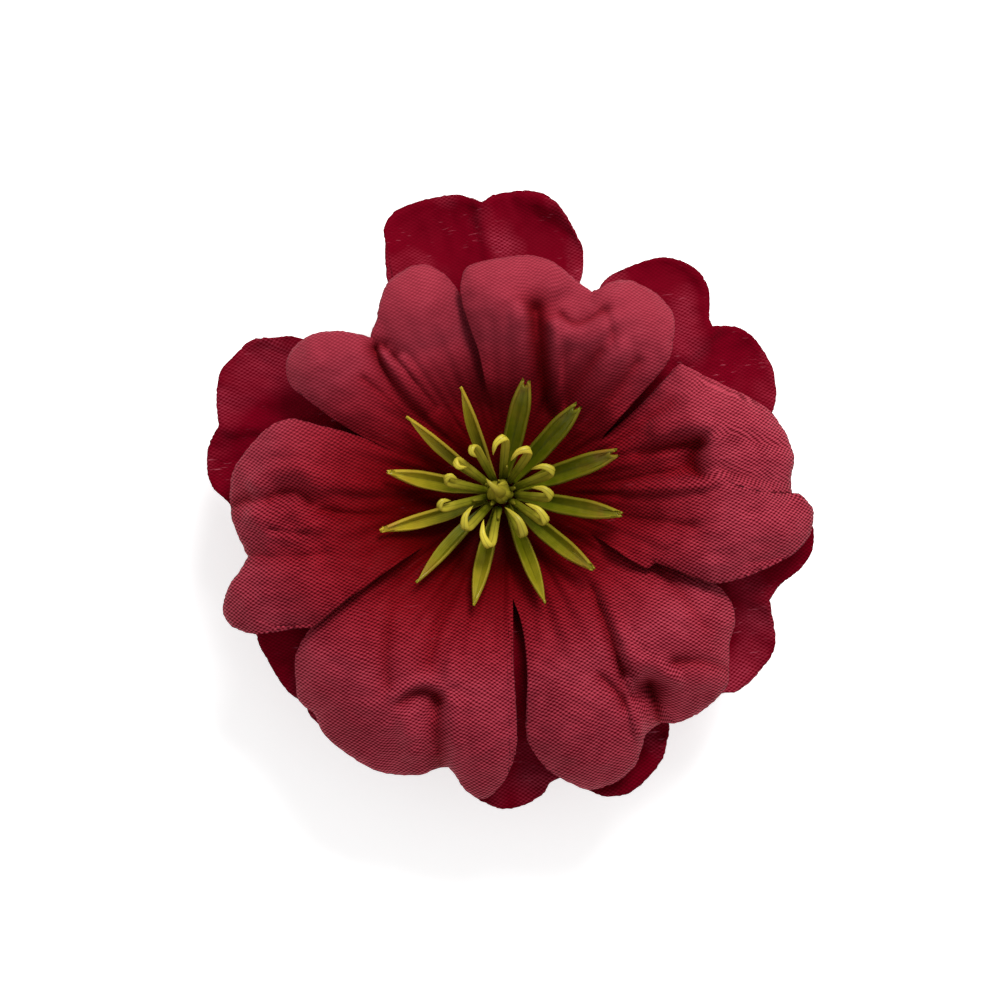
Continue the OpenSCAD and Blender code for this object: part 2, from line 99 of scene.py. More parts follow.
# Each petal is an outline that runs clockwise: its root, one lobe, the notch, the other lobe and
# its other root. Points are (degrees anticlockwise from +X, millimetres from the petals' centre).
# lift raises the first and the last edge, so that a petal lies over or under its neighbour.
# Domes, pits and strokes are in millimetres about the petals' centre: a dome or pit is
# (x, y, height, radius), and a stroke is (height at its start, height at its end, half-width, three
# points of a bent line).
UPPER_PETALS = [
    dict(
        first=[(161.3, 15.8), (158.8, 23), (156.8, 28.3), (155, 32), (154, 35), (152, 36.7), (149, 37.8),
            (145.4, 37.8), (141, 36.7), (137, 34.5), (134.4, 32.5), (131.5, 30.2)],
        last=[(130.4, 30.6), (127, 31.7), (124.5, 33), (121, 34.8), (118, 35.6), (113.5, 36), (110, 35.6),
            (107, 34), (105, 32), (103.6, 29.7), (101.5, 22), (98.5, 12.5)],
        lift=(0.3, -1.6),
        domes=[(-22, 17, 1.5, 7), (-14, 28, 2.6, 5.5), (-26, 22.5, 1.8, 5), (-17, 21.5, -1.6, 3),
            (-6.8, 13.4, -1.8, 2.8)],
        strokes=[(-3.4, -1.2, 0.7, [(-19.4, 20.9), (-18.2, 17.3), (-12.4, 11.4)]),
            (2.0, 0.9, 0.75, [(-17.9, 20.4), (-15.1, 15.4), (-9.5, 9.3)]),
            (-2.8, -1.2, 0.5, [(-17.9, 21.1), (-13.8, 16.6), (-10.5, 12.4)]),
            (1.6, 0.6, 0.7, [(-15.3, 18.9), (-12.3, 15.1), (-9, 10.9)]),
            (-1.4, -0.6, 0.7, [(-21, 16.5), (-17.5, 13.6), (-13.5, 9.8)])],
    ),
    dict(
        first=[(98.5, 12.5), (101, 16.3), (101.3, 21), (102.6, 24.7), (103.2, 29.2), (102, 32),
            (99.8, 33.5), (95.8, 34), (90.5, 34.4), (85.4, 34.9), (81, 34.8), (76.6, 33.9), (72.4, 32.8),
            (67, 32)],
        last=[(65.4, 32.9), (64, 34.2), (60.3, 35.8), (55.7, 36.3), (51, 36.3), (46.6, 35.5), (42.6, 33),
            (39.4, 30.5), (37.8, 27.7), (36.4, 24.6), (34, 20.6), (31.4, 17.6), (28.5, 15.5)],
        lift=(1.6, 1.2),
        domes=[(-1, 27, 2.4, 5.5), (19, 23, 2.6, 6.5), (10.5, 28.3, -2.2, 2.2)],
        strokes=[(-5.8, -2.6, 1.2, [(4.1, 26.6), (4.7, 21), (6.1, 12.1)]),
            (1.8, 1.0, 0.6, [(6.9, 24.2), (7.2, 16.6), (7.9, 11.8)]),
            (1.4, 0.5, 1.0, [(1.6, 26), (1.6, 19), (1.2, 12)]),
            (-1.3, -1.1, 0.45, [(8.0, 25.9), (9.6, 23.1), (13.8, 26.3)]),
            (0.7, 0.8, 0.9, [(7.9, 24.0), (10, 20.6), (14.9, 24.8)]),
            (-1.2, -0.5, 0.5, [(14.6, 26.4), (15.2, 24), (15.8, 20.5)]),
            (-1.4, -0.5, 0.9, [(13.5, 20.5), (10.5, 16), (7.5, 11)]),
            (-1.3, -0.6, 0.8, [(19, 19), (15.5, 14), (12, 10)]),
            (1.0, 0.6, 0.9, [(16.5, 21), (13, 15), (9.5, 10)])],
    ),
    dict(
        first=[(28.5, 15.5), (33, 23.6), (36.4, 31), (35.5, 32), (31, 33.5), (26, 35.6), (22, 37.9),
            (17.6, 40.4), (13.6, 41.7), (9.6, 42.5), (6.4, 42.7), (3.2, 42), (-0.3, 42.2)],
        last=[(-0.7, 43.6), (-3, 45.4), (-4, 45.6), (-7.7, 45.4), (-11, 44), (-13.8, 42), (-17.6, 38.6),
            (-21, 35.8), (-23.5, 33.5), (-24.2, 31.4), (-24.6, 28.5), (-25.6, 24), (-29, 22.7),
            (-26.3, 13.8)],
        lift=(-1.6, 1.8),
        domes=[(30, 13, 2.2, 6.5), (34, -5, 2.2, 7), (26.6, 5.6, -1.2, 2.2)],
        strokes=[(-1.4, -3.2, 0.65, [(19.7, 5.5), (23.8, 6.8), (28.1, 7.1)]),
            (-2.6, -2.2, 0.6, [(28.4, 7.1), (25.8, 4.4), (28.4, 2.1)]),
            (-0.6, -2.2, 1.3, [(16, 1.6), (22, 2.6), (27.2, 3.6)]),
            (0.8, 0.8, 0.9, [(30.2, 7.2), (28.4, 4.5), (30.2, 2.0)]),
            (1.2, 1.6, 0.7, [(18.2, 0.3), (23.4, 0.9), (28.5, 1.2)]),
            (0.5, 0.2, 1.3, [(30.4, 8.6), (34, 9.8), (40, 9.2)]),
            (0.5, 0.2, 1.3, [(30.6, 5.4), (34.5, 5.8), (41, 3.8)]),
            (-0.5, -0.2, 0.9, [(31, 7), (35, 7.8), (41, 6.6)]),
            (-0.5, -0.2, 0.9, [(31, 3.2), (34.5, 2.4), (41.5, 0)]),
            (1.8, 1.2, 0.9, [(22, 9.2), (25.5, 10.6), (28.5, 9.8)]),
            (-1.2, -0.4, 0.9, [(24, 13), (19.5, 9.5), (14, 6)]),
            (-1.2, -0.4, 0.9, [(27, -5), (21, -4), (14, -3)])],
    ),
    dict(
        first=[(-26.3, 13.8), (-26, 23.5), (-24, 29), (-24, 33.6), (-25, 35.3), (-26.5, 37), (-30, 38.8),
            (-34, 39.6), (-39.6, 42.5), (-41.7, 43.4), (-45, 43.5), (-49, 43.4), (-53.6, 42.5),
            (-56, 41.2)],
        last=[(-58.8, 41), (-60.6, 41.3), (-62.4, 42.8), (-65, 44.7), (-69, 45.9), (-72.6, 46), (-75, 45.7),
            (-78.3, 43.7), (-81.4, 41.5), (-84.3, 38.2), (-85.4, 35), (-84, 29), (-83.2, 24), (-83.7, 19.4),
            (-87, 15.8)],
        lift=(-1.8, 0.2),
        domes=[(29, -22, 2.2, 7.5), (12, -35, 2.4, 6.5), (20.6, -28.8, -2.4, 1.5), (24.6, -32, -1.4, 2.8)],
        strokes=[(-1.2, -3.4, 0.55, [(12.6, -14.4), (15.3, -22.4), (18.4, -30.4)]),
            (1.0, 2.2, 0.6, [(14.4, -15.4), (17.4, -21.4), (19.2, -26.4)]),
            (2.4, 1.6, 0.55, [(17.6, -27.6), (18.4, -31), (19.4, -35.4)]),
            (-3.2, -1.6, 0.7, [(21, -28.4), (22.2, -31.6), (22.6, -35.5)]),
            (1.6, 2.0, 0.8, [(17.9, -24.1), (21.6, -25.7), (24.4, -27.2)]),
            (-1.0, -1.8, 0.5, [(13.4, -26.8), (15.6, -28.4), (17.2, -31.2)]),
            (-1.8, -0.6, 0.7, [(24.5, -25), (28, -24.5), (32, -26)]),
            (-1.2, -0.5, 0.9, [(22, -11), (26, -15), (29, -20)])],
    ),
    dict(
        first=[(-87, 15.8), (-88, 25.5), (-87.7, 32.3), (-88, 37.4), (-89.4, 40.8), (-91.2, 43.4),
            (-93.4, 45.3), (-95, 45.7), (-98, 44.6), (-100.3, 42.5), (-102, 41.6)],
        last=[(-104.2, 42.2), (-107, 43.7), (-111, 45), (-115.4, 45.7), (-120, 45.6), (-126, 45.2),
            (-129.3, 44.3), (-131, 43.5), (-134.6, 43.8), (-137.3, 42.5), (-141.6, 40), (-144.2, 37),
            (-146, 33), (-147, 24), (-146.6, 14.4)],
        lift=(0.2, -1.8),
        domes=[(-22, -27, 2.2, 7.5), (-4.5, -34, 2.6, 5.5), (-11.8, -30.0, -0.8, 1.8)],
        strokes=[(1.0, 1.3, 0.6, [(-16.4, -29.8), (-12.0, -25.6), (-8.2, -30.0)]),
            (-1.2, -1.8, 0.5, [(-15.4, -31.0), (-12, -27.6), (-9.8, -30.6)]),
            (-1.8, -1.8, 0.8, [(-10.4, -30), (-10.6, -36), (-9.6, -42)]),
            (2.0, 1.0, 0.85, [(-7.8, -31), (-7.4, -36), (-7.2, -41)]),
            (2.0, 1.0, 0.85, [(-14.6, -33), (-14.2, -37), (-12.8, -41.5)]),
            (-0.5, -1.6, 0.9, [(-8, -13), (-10, -19), (-11.5, -25)]),
            (0.4, 1.4, 0.9, [(-5.5, -13), (-6.8, -20), (-8, -27)]),
            (-0.4, -1.6, 0.8, [(-16, -14), (-18.5, -20), (-17.5, -28)])],
    ),
    dict(
        first=[(-146.6, 14.4), (-146.8, 19.7), (-146.4, 23.9), (-146.2, 28), (-145.6, 32.3), (-145.5, 35),
            (-147, 36), (-149, 39.9), (-151, 43), (-154, 45.3), (-156.5, 45.8), (-158.4, 45.2),
            (-161.3, 43.3), (-163.7, 40.9), (-166, 39.4)],
        last=[(-168.3, 39.8), (-173, 40.6), (-175.4, 40.9), (-179.5, 41), (-184, 40.6), (-188, 39.2),
            (-192.3, 37.5), (-196, 35.7), (-198.6, 33.5), (-199, 31.5), (-199.3, 29.5), (-200, 26),
            (-200.4, 22.5), (-199.6, 18.7), (-198.7, 15.8)],
        lift=(1.8, 0.3),
        domes=[(-32, 7, 2.0, 6), (-35, -14, 2.4, 6.5), (-31.5, -1.5, -1.4, 2.4)],
        strokes=[(1.3, 1.2, 0.9, [(-36.5, 1.2), (-32, 5.2), (-27.2, 0.8)]),
            (1.3, 0.9, 0.9, [(-37, -3.5), (-32, -8.5), (-27, -4.4)]),
            (-1.6, -1.2, 0.5, [(-35, -1.2), (-31.5, 1.6), (-28.8, -1.6)]),
            (1.0, 0.8, 0.8, [(-34, -4), (-31, -1.6), (-29.2, -4.6)]),
            (-1.5, -1.0, 0.5, [(-34.5, -5.4), (-31.5, -6.2), (-29, -6)]),
            (-0.4, -1.8, 0.9, [(-13, -3.5), (-20, -3.8), (-27, -2.8)]),
            (0.4, 1.6, 0.9, [(-14, 0), (-20, 0.2), (-27, 2)]),
            (-1.8, -0.6, 0.8, [(-38, -1), (-41, -2), (-43, -4)]),
            (-1.2, -0.5, 0.9, [(-39, -9), (-33, -10), (-26, -9)])],
    ),
]

LOWER_PETALS = [
    dict(
        first=[(130, 14), (124, 28), (119, 36.6), (115.7, 41.8), (114.8, 43.6), (112, 45.2), (108, 45.5),
            (103.7, 45.5), (99, 45), (95, 43.3)],
        last=[(92.5, 44.4), (89, 44.9), (84.6, 45), (81.3, 44.2), (78, 42.2), (75.3, 40), (72.8, 38),
            (71.4, 35.4), (70.8, 33.3), (68.5, 24), (67, 14)],
        lift=(0.4, 0.4),
        domes=[(-10, 39, -3.2, 5), (6.5, 38.5, -3.0, 4.5), (7, 43.5, 1.8, 2.4)],
        strokes=[(1.6, 0.96, 1.0, [(-3.5, 44), (-2.5, 38), (-1.5, 32)]),
            (1.2, 0.72, 0.8, [(2, 44), (8, 43.2), (12, 38)])],
    ),
    dict(
        first=[(67, 14), (66.5, 26), (65.4, 34.2), (62.8, 37), (59.5, 40), (56.3, 42.3), (52.7, 43.4),
            (49.5, 43.7), (46, 43), (43.4, 41.7), (40.6, 39.7), (39, 39.3)],
        last=[(36.4, 41.8), (33.5, 43.3), (29.5, 43.9), (26, 44), (22.7, 43.5), (18, 42), (13, 38),
            (9.5, 30), (8, 14)],
        lift=(-0.6, 0.4),
        domes=[(24, 32, -3.0, 5), (36, 20, -3.0, 5.5)],
        strokes=[(1.6, 0.96, 1.0, [(30.5, 24.7), (28, 22), (26, 20)]),
            (1.0, 0.6, 0.8, [(21, 38), (27, 36), (31, 30)])],
    ),
    dict(
        first=[(8, 14), (3, 30), (-3, 41), (-6, 45.6), (-8.5, 46.5), (-11.6, 46.5), (-15, 45.3),
            (-18.7, 43.2), (-22.4, 42.4)],
        last=[(-25, 43.8), (-28, 45.5), (-31, 46.6), (-35, 46.5), (-39, 46), (-42, 44.7), (-47, 40),
            (-49, 30), (-49, 14)],
        lift=(-0.4, 0.6),
        domes=[(42, -9, -2.4, 4.5), (36, -22, -2.8, 5)],
        strokes=[(1.4, 0.84, 1.0, [(39.5, -16.5), (36, -15), (33, -13.5)])],
    ),
    dict(
        first=[(-49, 14), (-50.5, 30), (-52.5, 38.5), (-55.6, 42.9), (-57.5, 44.4), (-60, 46.3),
            (-64, 47.8), (-68, 48.6), (-72, 47.8), (-76, 45.4), (-79, 43.3)],
        last=[(-81.6, 43.9), (-83, 45.3), (-86.5, 46.8), (-89.5, 47.4), (-93, 47), (-98, 44.5),
            (-101.5, 38), (-104, 28), (-107, 14)],
        lift=(-0.6, -0.4),
        domes=[(19, -38, -2.4, 5), (0, -40, -2.6, 5)],
        strokes=[(1.5, 0.9, 1.0, [(14, -46), (20, -43), (26, -37)])],
    ),
    dict(
        first=[(253, 14), (249, 30), (244, 39), (238, 43), (233, 44.6), (229, 44.7), (226, 43.8)],
        last=[(223, 44.3), (220, 44.2), (215, 43.7), (210, 43), (204, 41), (199, 36), (196, 26), (194, 14)],
        lift=(0.3, 0.5),
        domes=[(-28, -31, -2.2, 5)],
        strokes=[(-0.8, -0.4, 0.8, [(-30, -32), (-27, -28), (-24, -25)])],
    ),
    dict(
        first=[(194, 14), (192, 28), (187, 37), (181, 42.5), (178.4, 44.2), (175.4, 45), (171.7, 45.2),
            (168.5, 44.6), (167, 44.2)],
        last=[(164.7, 45), (160, 46.2), (157, 46.5), (154.5, 46), (150.6, 45), (148.6, 44), (146.6, 41.9),
            (143.5, 38.5), (138, 28), (130, 14)],
        lift=(-0.3, -0.4),
        domes=[(-35, 17, -3.2, 5.5), (-40, 6, -2.4, 4)],
        strokes=[(1.4, 0.84, 1.0, [(-42, 9.8), (-38, 10), (-34, 10)])],
    ),
]

# Outer leaflets: (degrees, reach in mm, roll in degrees, ripeness from green 0 to yellow 1, how far the
# tip is split in two). The leaflets on the left get the most ripeness, partly their own yellow and partly
# painted light on that side.
LEAFLETS = [
    (19.3, 18.3, 8, 0.12, 1), (48.7, 17.4, 6, 0.06, 1), (77.5, 17.2, 2, 0.1, 1), (110.2, 16.7, -40, 0.8, 0),
    (140.6, 17.9, -42, 0.95, 0), (169.3, 17.1, -16, 0.7, 0.35), (197, 18.7, -34, 0.75, 0.45),
    (227.1, 18.2, 36, 0.3, 0), (256.5, 17.1, 14, 0.4, 0.2), (291.7, 17.6, -12, 0.3, 0),
    (320.6, 17.8, 18, 0.25, 0.5), (349.9, 18.2, 8, 0.2, 0.6),
]

# Inner hooks: elbow (degrees, mm), tip (degrees, mm), ripeness.
HOOKS = [
    (20.7, 8.15, 38, 5.6, 0.55), (-6.2, 7.3, 9.5, 4.5, 0.5), (-34.7, 7.8, -23.7, 3.9, 0.7),
    (-63.7, 7.1, -75, 2.2, 0.45), (-100.4, 7.9, -123, 4.7, 0.95), (-132.9, 7.3, -155, 4.6, 0.6),
    (195, 9.2, 188.8, 7.5, 0.5), (168.7, 8.3, 162.9, 6.7, 0.55), (143, 8.2, 142.5, 6.3, 0.8),
    (118.9, 7.9, 124, 6.3, 0.6), (84.7, 8.0, 101.6, 5.7, 0.85), (54.7, 7.4, 73.2, 4.9, 0.8),
]

# Short stubs round the bud: (degrees, root mm, tip mm, height of the tip over the bud's foot in mm).
STUBS = [
    (77.6, 2.4, 4.1, 4.2), (195.5, 2.2, 4.3, 3.2), (-96, 2.2, 3.9, 3.4), (-39, 1.6, 2.6, 4.6),
    (150, 1.2, 2.6, 5.4), (20, 1.2, 2.2, 5.0), (-130, 1.2, 2.3, 4.8), (100, 1.0, 1.9, 5.6),
]


# ---- surfaces ----


def smooth(x):
    """A smooth step: 3x^2 - 2x^3 of x held between 0 and 1."""
    x = np.clip(x, 0.0, 1.0)
    return x * x * (3.0 - 2.0 * x)


def polar(points):
    """Turns (degrees, radius) rows into x and y."""
    p = np.asarray(points, float)
    a = np.radians(p[:, 0])
    return np.stack([p[:, 1] * np.cos(a), p[:, 1] * np.sin(a)], -1)


def run_lengths(line):
    """Distance of each point of a line from its first, measured along it."""
    return np.concatenate([[0], np.cumsum(np.linalg.norm(np.diff(line, axis=0), axis=1))])


def curve(points, count, step=24):
    """A Catmull-Rom curve through the points, respaced evenly by length."""
    p = np.asarray(points, float)
    q = np.vstack([2 * p[0] - p[1], p, 2 * p[-1] - p[-2]])
    a, b, c, d = q[:-3], q[1:-2], q[2:-1], q[3:]
    t = np.linspace(0, 1, step, endpoint=False)[:, None, None]
    square = (2 * a - 5 * b + 4 * c - d) * t**2
    cube = (3 * b - a - 3 * c + d) * t**3
    dense = 0.5 * (2 * b + (c - a) * t + square + cube)
    dense = np.vstack([dense.transpose(1, 0, 2).reshape(-1, p.shape[1]), p[-1:]])
    run = run_lengths(dense)
    even = np.linspace(0, run[-1], count)
    return np.stack([np.interp(even, run, dense[:, k]) for k in range(p.shape[1])], -1)


def ripples(xy, seed, wavelength, count=14):
    """Soft unevenness: a sum of sine waves of about one wavelength in seeded directions, about -1 to 1."""
    rng = np.random.default_rng(seed)
    turn = rng.uniform(0, 2 * np.pi, count)
    scale = 2 * np.pi / (wavelength * rng.uniform(0.7, 1.5, count))
    phase = rng.uniform(0, 2 * np.pi, count)
    along = xy[..., :1] * np.cos(turn) + xy[..., 1:2] * np.sin(turn)
    return np.sin(along * scale + phase).sum(-1) / math.sqrt(count)


def stroke_height(xy, start, end, width, line):
    """A fold: a height that runs from start to end along a quadratic Bezier line. A ridge has a round
    back with steep sides, exp(-(d^2 / 2w^2)^1.4); a groove is a sharp crease, exp(-d / w), d being the
    distance to the line and w the half-width."""
    t = np.linspace(0, 1, 36)[:, None]
    a, b, c = (np.asarray(p, float) for p in line)
    path = (1 - t) ** 2 * a + 2 * t * (1 - t) * b + t * t * c
    gap = ((xy[:, :, None, :] - path) ** 2).sum(-1)
    height = np.abs(start + (end - start) * t[:, 0])
    if start + end > 0:
        return (height * np.exp(-((gap / (2 * width**2)) ** 1.4))).max(-1)
    return -(height * np.exp(-(np.sqrt(gap + 0.03) - 0.17) / width)).max(-1)


def side_edge(root, edge, rows):
    """One side of a petal: evenly up the root line from the hub circle, then evenly along the free edge."""
    radii = np.linspace(HUB_RADIUS, root[1], ROOT_ROWS)
    spoke = polar(np.stack([np.full(ROOT_ROWS, root[0]), radii], -1))
    return np.vstack([spoke, curve(edge, rows - ROOT_ROWS + 1, 6)[1:]])


def side_end(line):
    """Index at which a side's lobe first reaches 0.85 of its greatest radius."""
    radius = np.linalg.norm(line, axis=1)
    return int(np.argmax(radius > 0.85 * radius.max()))


def petal_plan(petal, seed, rows, columns):
    """A petal's plan as a Coons patch: the hub arc, the two side edges and the lobed top, blended.

    Returns the grid and its whole free outline."""
    first = curve(polar(petal["first"]), OUTLINE_STEPS)
    last = curve(np.vstack([first[-1:], polar(petal["last"])]), OUTLINE_STEPS)[::-1]
    ends = [side_end(first), side_end(last)]
    half = columns // 2
    first_top = curve(first[ends[0]:], half + 1, 6)
    last_top = curve(last[ends[1]:][::-1], columns - half, 6)
    top = np.vstack([first_top, last_top[1:]])
    right = side_edge(petal["first"][0], first[: ends[0] + 1], rows)
    left = side_edge(petal["last"][-1], last[: ends[1] + 1], rows)
    rng = np.random.default_rng(seed)
    for line in (top, right, left):
        outer = smooth((np.linalg.norm(line, axis=1, keepdims=True) - 24) / 6)
        line += rng.normal(0, ROUGHNESS, line.shape) * outer
    right[-1] = top[0]
    left[-1] = top[-1]
    turns = np.linspace(petal["first"][0][0], petal["last"][-1][0], columns)
    arc = polar(np.stack([turns, np.full(columns, HUB_RADIUS)], -1))
    runs = [run_lengths(edge) for edge in (right, left)]
    v = sum(run / run[-1] for run in runs)[:, None, None] / 2
    u = np.linspace(0, 1, columns)[None, :, None]
    between = (1 - v) * arc[None] + v * top[None]
    sides = (1 - u) * (right[:, None] - (1 - v) * arc[0] - v * top[0])
    sides += u * (left[:, None] - (1 - v) * arc[-1] - v * top[-1])
    outline = np.vstack([right[ROOT_ROWS:], top, left[ROOT_ROWS:][::-1]])
    return between + sides, outline


def petal_surface(petal, shape, seed, rows, columns):
    """One petal as a grid over its plan, from the small hub circle out to its lobes.

    Its height is a half cosine from the hub to the crest and a quarter cosine down to the rim, plus
    an edge that turns down, bell-shaped domes and pits, folds along bent lines, pleats that are sines
    of the angle, and soft ripples. Returns the points, their place in the flat cloth and how deep each
    lies in a fold (0 to 1), which the satin darkens as painted shade."""
    xy, rim = petal_plan(petal, seed, rows, columns)
    radius = np.linalg.norm(xy, axis=-1)
    ramp = smooth((radius - ROOT_END) / 9)
    edge = np.sqrt(((xy[:, :, None, :] - rim[None, None]) ** 2).sum(-1).min(-1))
    v = np.linspace(0, 1, columns)
    rise = (radius - shape["hub"]) / (shape["crest_at"] - shape["hub"])
    z = shape["crest"] * (1 - np.cos(np.pi * np.clip(rise, 0, 1))) / 2
    fall = np.clip((radius - shape["crest_at"]) / (shape["reach"] - shape["crest_at"]), 0, 1.3)
    z -= shape["fall"] * (1 - np.cos(np.pi / 2 * fall))
    z -= shape["curl"] * ramp * np.exp(-edge / shape["curl_width"])
    # Past its root an edge is free to lift; inside it the edge is shared with the next petal.
    free = [smooth((radius - root[1]) / 4.5) for root in (petal["first"][0], petal["last"][-1])]
    lift = petal["lift"]
    z += lift[0] * free[0] * smooth(1 - v / 0.3) + lift[1] * free[1] * smooth((v - 0.7) / 0.3)
    ease = smooth((radius - 9) / 6) * np.maximum(free[0], smooth(v / 0.1))
    ease = ease * np.maximum(free[1], smooth((1 - v) / 0.1))
    for x, y, height, size in petal["domes"]:
        z += ease * height * np.exp(-((xy[..., 0] - x) ** 2 + (xy[..., 1] - y) ** 2) / (2 * size**2))
    folds = sum(stroke_height(xy, *stroke) for stroke in petal["strokes"])
    # Where folds meet, their sum is held in by a hyperbolic tangent.
    limit = np.where(folds > 0, FOLD_UP, FOLD_DOWN)
    z += ease * limit * np.tanh(folds / limit)
    z += ramp * (0.3 * ripples(xy, seed + 50, 9.0) + 0.13 * ripples(xy, seed + 90, 3.0))
    turn = np.arctan2(xy[..., 1], xy[..., 0])
    pleats = np.sin(31 * turn + 1.5 * np.sin(5 * turn)) + 0.7 * np.sin(53 * turn + 2 * np.sin(3 * turn))
    z += 0.22 * pleats * smooth((radius - 8) / 7) * smooth((30 - radius) / 10)
    points = np.concatenate([xy + PETAL_CENTRE * smooth(radius / 8)[..., None], z[..., None]], -1)
    # Flat place of each point in the cut cloth: its plan, let out by a third of what its folds take up.
    taken = [np.cumsum(np.linalg.norm(np.diff(p, axis=0), axis=-1), axis=0) for p in (points, xy)]
    let_out = np.concatenate([np.ones((1, columns)), taken[0] / taken[1]])
    flat = xy * (0.67 + 0.33 * let_out[..., None])
    # How deep each point lies in a fold: the satin darkens it there as painted shade.
    fold_shade = np.clip(-ease * folds / 3, 0, 1)
    return points, flat, fold_shade


def grid_faces(rows, columns, wrap=False):
    """Quads between neighbouring rows and columns of a grid, wrapped round its columns if asked."""
    i = np.arange(rows - 1)[:, None] * columns
    j = np.arange(columns if wrap else columns - 1)[None, :]
    here = i + j
    side = i + (j + 1) % columns
    return np.stack([here, side, side + columns, here + columns], -1).reshape(-1, 4)


def make_piece(name, points, faces, flat=None, tone=None, merge=0.0):
    """Puts arrays of points (mm) and quads into a mesh object, with an optional UV map and tone attribute."""
    mesh = bpy.data.meshes.new(name)
    mesh.from_pydata((np.asarray(points) * MM).tolist(), [], np.asarray(faces).tolist())
    loops = np.zeros(len(mesh.loops), np.int32)
    mesh.loops.foreach_get("vertex_index", loops)
    if flat is not None:
        layer = mesh.uv_layers.new(name="flat")
        layer.data.foreach_set("uv", np.asarray(flat)[loops].astype(np.float32).ravel())
    if tone is not None:
        values = np.asarray(tone, np.float32)
        mesh.attributes.new("tone", "FLOAT", "POINT").data.foreach_set("value", values)
    piece = bpy.data.objects.new(name, mesh)
    bpy.context.scene.collection.objects.link(piece)
    if merge:
        merge_doubles(mesh, merge)
    mesh.polygons.foreach_set("use_smooth", np.full(len(mesh.polygons), True))
    mesh.update()
    return piece


def merge_doubles(mesh, distance):
    """Merges doubled points and turns the faces to point outwards."""
    work = bmesh.new()
    work.from_mesh(mesh)
    bmesh.ops.remove_doubles(work, verts=work.verts, dist=distance)
    bmesh.ops.recalc_face_normals(work, faces=work.faces)
    work.to_mesh(mesh)
    work.free()


def face_values(mesh, key, width=1):
    """One of a mesh's values for each face, as an array."""
    values = np.empty(len(mesh.polygons) * width, np.float32)
    mesh.polygons.foreach_get(key, values)
    return values.astype(float)


def thicken(piece, name, thickness, offset=0):
    """Gives a sheet its thickness."""
    solid = piece.modifiers.new(name, "SOLIDIFY")
    solid.thickness = thickness
    solid.offset = offset


def join(parts):
    """Joins (points, faces, flat, tone) grids into one set of arrays."""
    sizes = np.cumsum([0] + [len(p[0]) for p in parts])
    points = np.vstack([p[0] for p in parts])
    faces = np.vstack([p[1] + start for p, start in zip(parts, sizes)])
    flat = np.vstack([p[2] for p in parts])
    tone = np.concatenate([p[3] for p in parts])
    return points, faces, flat, tone


def finish_piece(piece, node, material, body=FLOWER_BODY):
    """Gives a piece its material and its body, and hides the CAD node that it stands for."""
    piece.data.materials.append(material)
    if body:
        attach(piece, body)
    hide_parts(node)


def tube(path, side, width, depth, sides=12):
    """A flattened tube: round each path point an ellipse, width across side and depth across the rest."""
    path = np.asarray(path, float)
    run = np.gradient(path, axis=0)
    run /= np.linalg.norm(run, axis=1, keepdims=True)
    side = np.broadcast_to(np.asarray(side, float), path.shape)
    side = side - run * (side * run).sum(1, keepdims=True)
    side = side / np.linalg.norm(side, axis=1, keepdims=True)
    up = np.cross(run, side)
    a = np.linspace(0, 2 * np.pi, sides, endpoint=False)
    ring = (side[:, None] * np.cos(a)[None, :, None] * np.asarray(width)[:, None, None]
            + up[:, None] * np.sin(a)[None, :, None] * np.asarray(depth)[:, None, None]) / 2
    return path[:, None] + ring


def closed_tube(rings):
    """A tube's rings with doubled middle points at both ends, and the faces that close it."""
    first, last = (np.broadcast_to(ring.mean(0), ring.shape)[None] for ring in (rings[0], rings[-1]))
    whole = np.concatenate([first, rings, last])
    return whole, grid_faces(whole.shape[0], whole.shape[1], wrap=True)


def tube_part(rings, base, across, start, end, tone):
    """A closed tube raised by base, as (points, faces, flat, tone), its flat place running from start to
    end along it."""
    rings[..., 2] += base
    whole, faces = closed_tube(rings)
    flat = np.empty((*whole.shape[:2], 2))
    flat[..., 0] = across
    flat[..., 1] = np.linspace(start, end, whole.shape[0])[:, None]
    points = whole.reshape(-1, 3)
    return points, faces, flat.reshape(-1, 2), np.full(len(points), tone)


# ---- shader building ----


class Wire:
    """One output of a shader node. Arithmetic on it adds Math nodes."""

    def __init__(self, paint, socket):
        self.paint = paint
        self.socket = socket

    def math(self, operation, *others):
        return self.paint.add("ShaderNodeMath", {"operation": operation}, dict(enumerate((self,) + others)))

    def __add__(self, other):
        return self.math("ADD", other)

    __radd__ = __add__

    def __mul__(self, other):
        return self.math("MULTIPLY", other)

    __rmul__ = __mul__

    def __sub__(self, other):
        return self.math("SUBTRACT", other)

    def __rsub__(self, other):
        return self.paint.add("ShaderNodeMath", {"operation": "SUBTRACT"}, {0: other, 1: self})

    def __pow__(self, other):
        return self.math("POWER", other)

    def sin(self):
        return self.math("SINE")

    def held(self):
        return self.paint.add("ShaderNodeClamp", {}, {0: self})


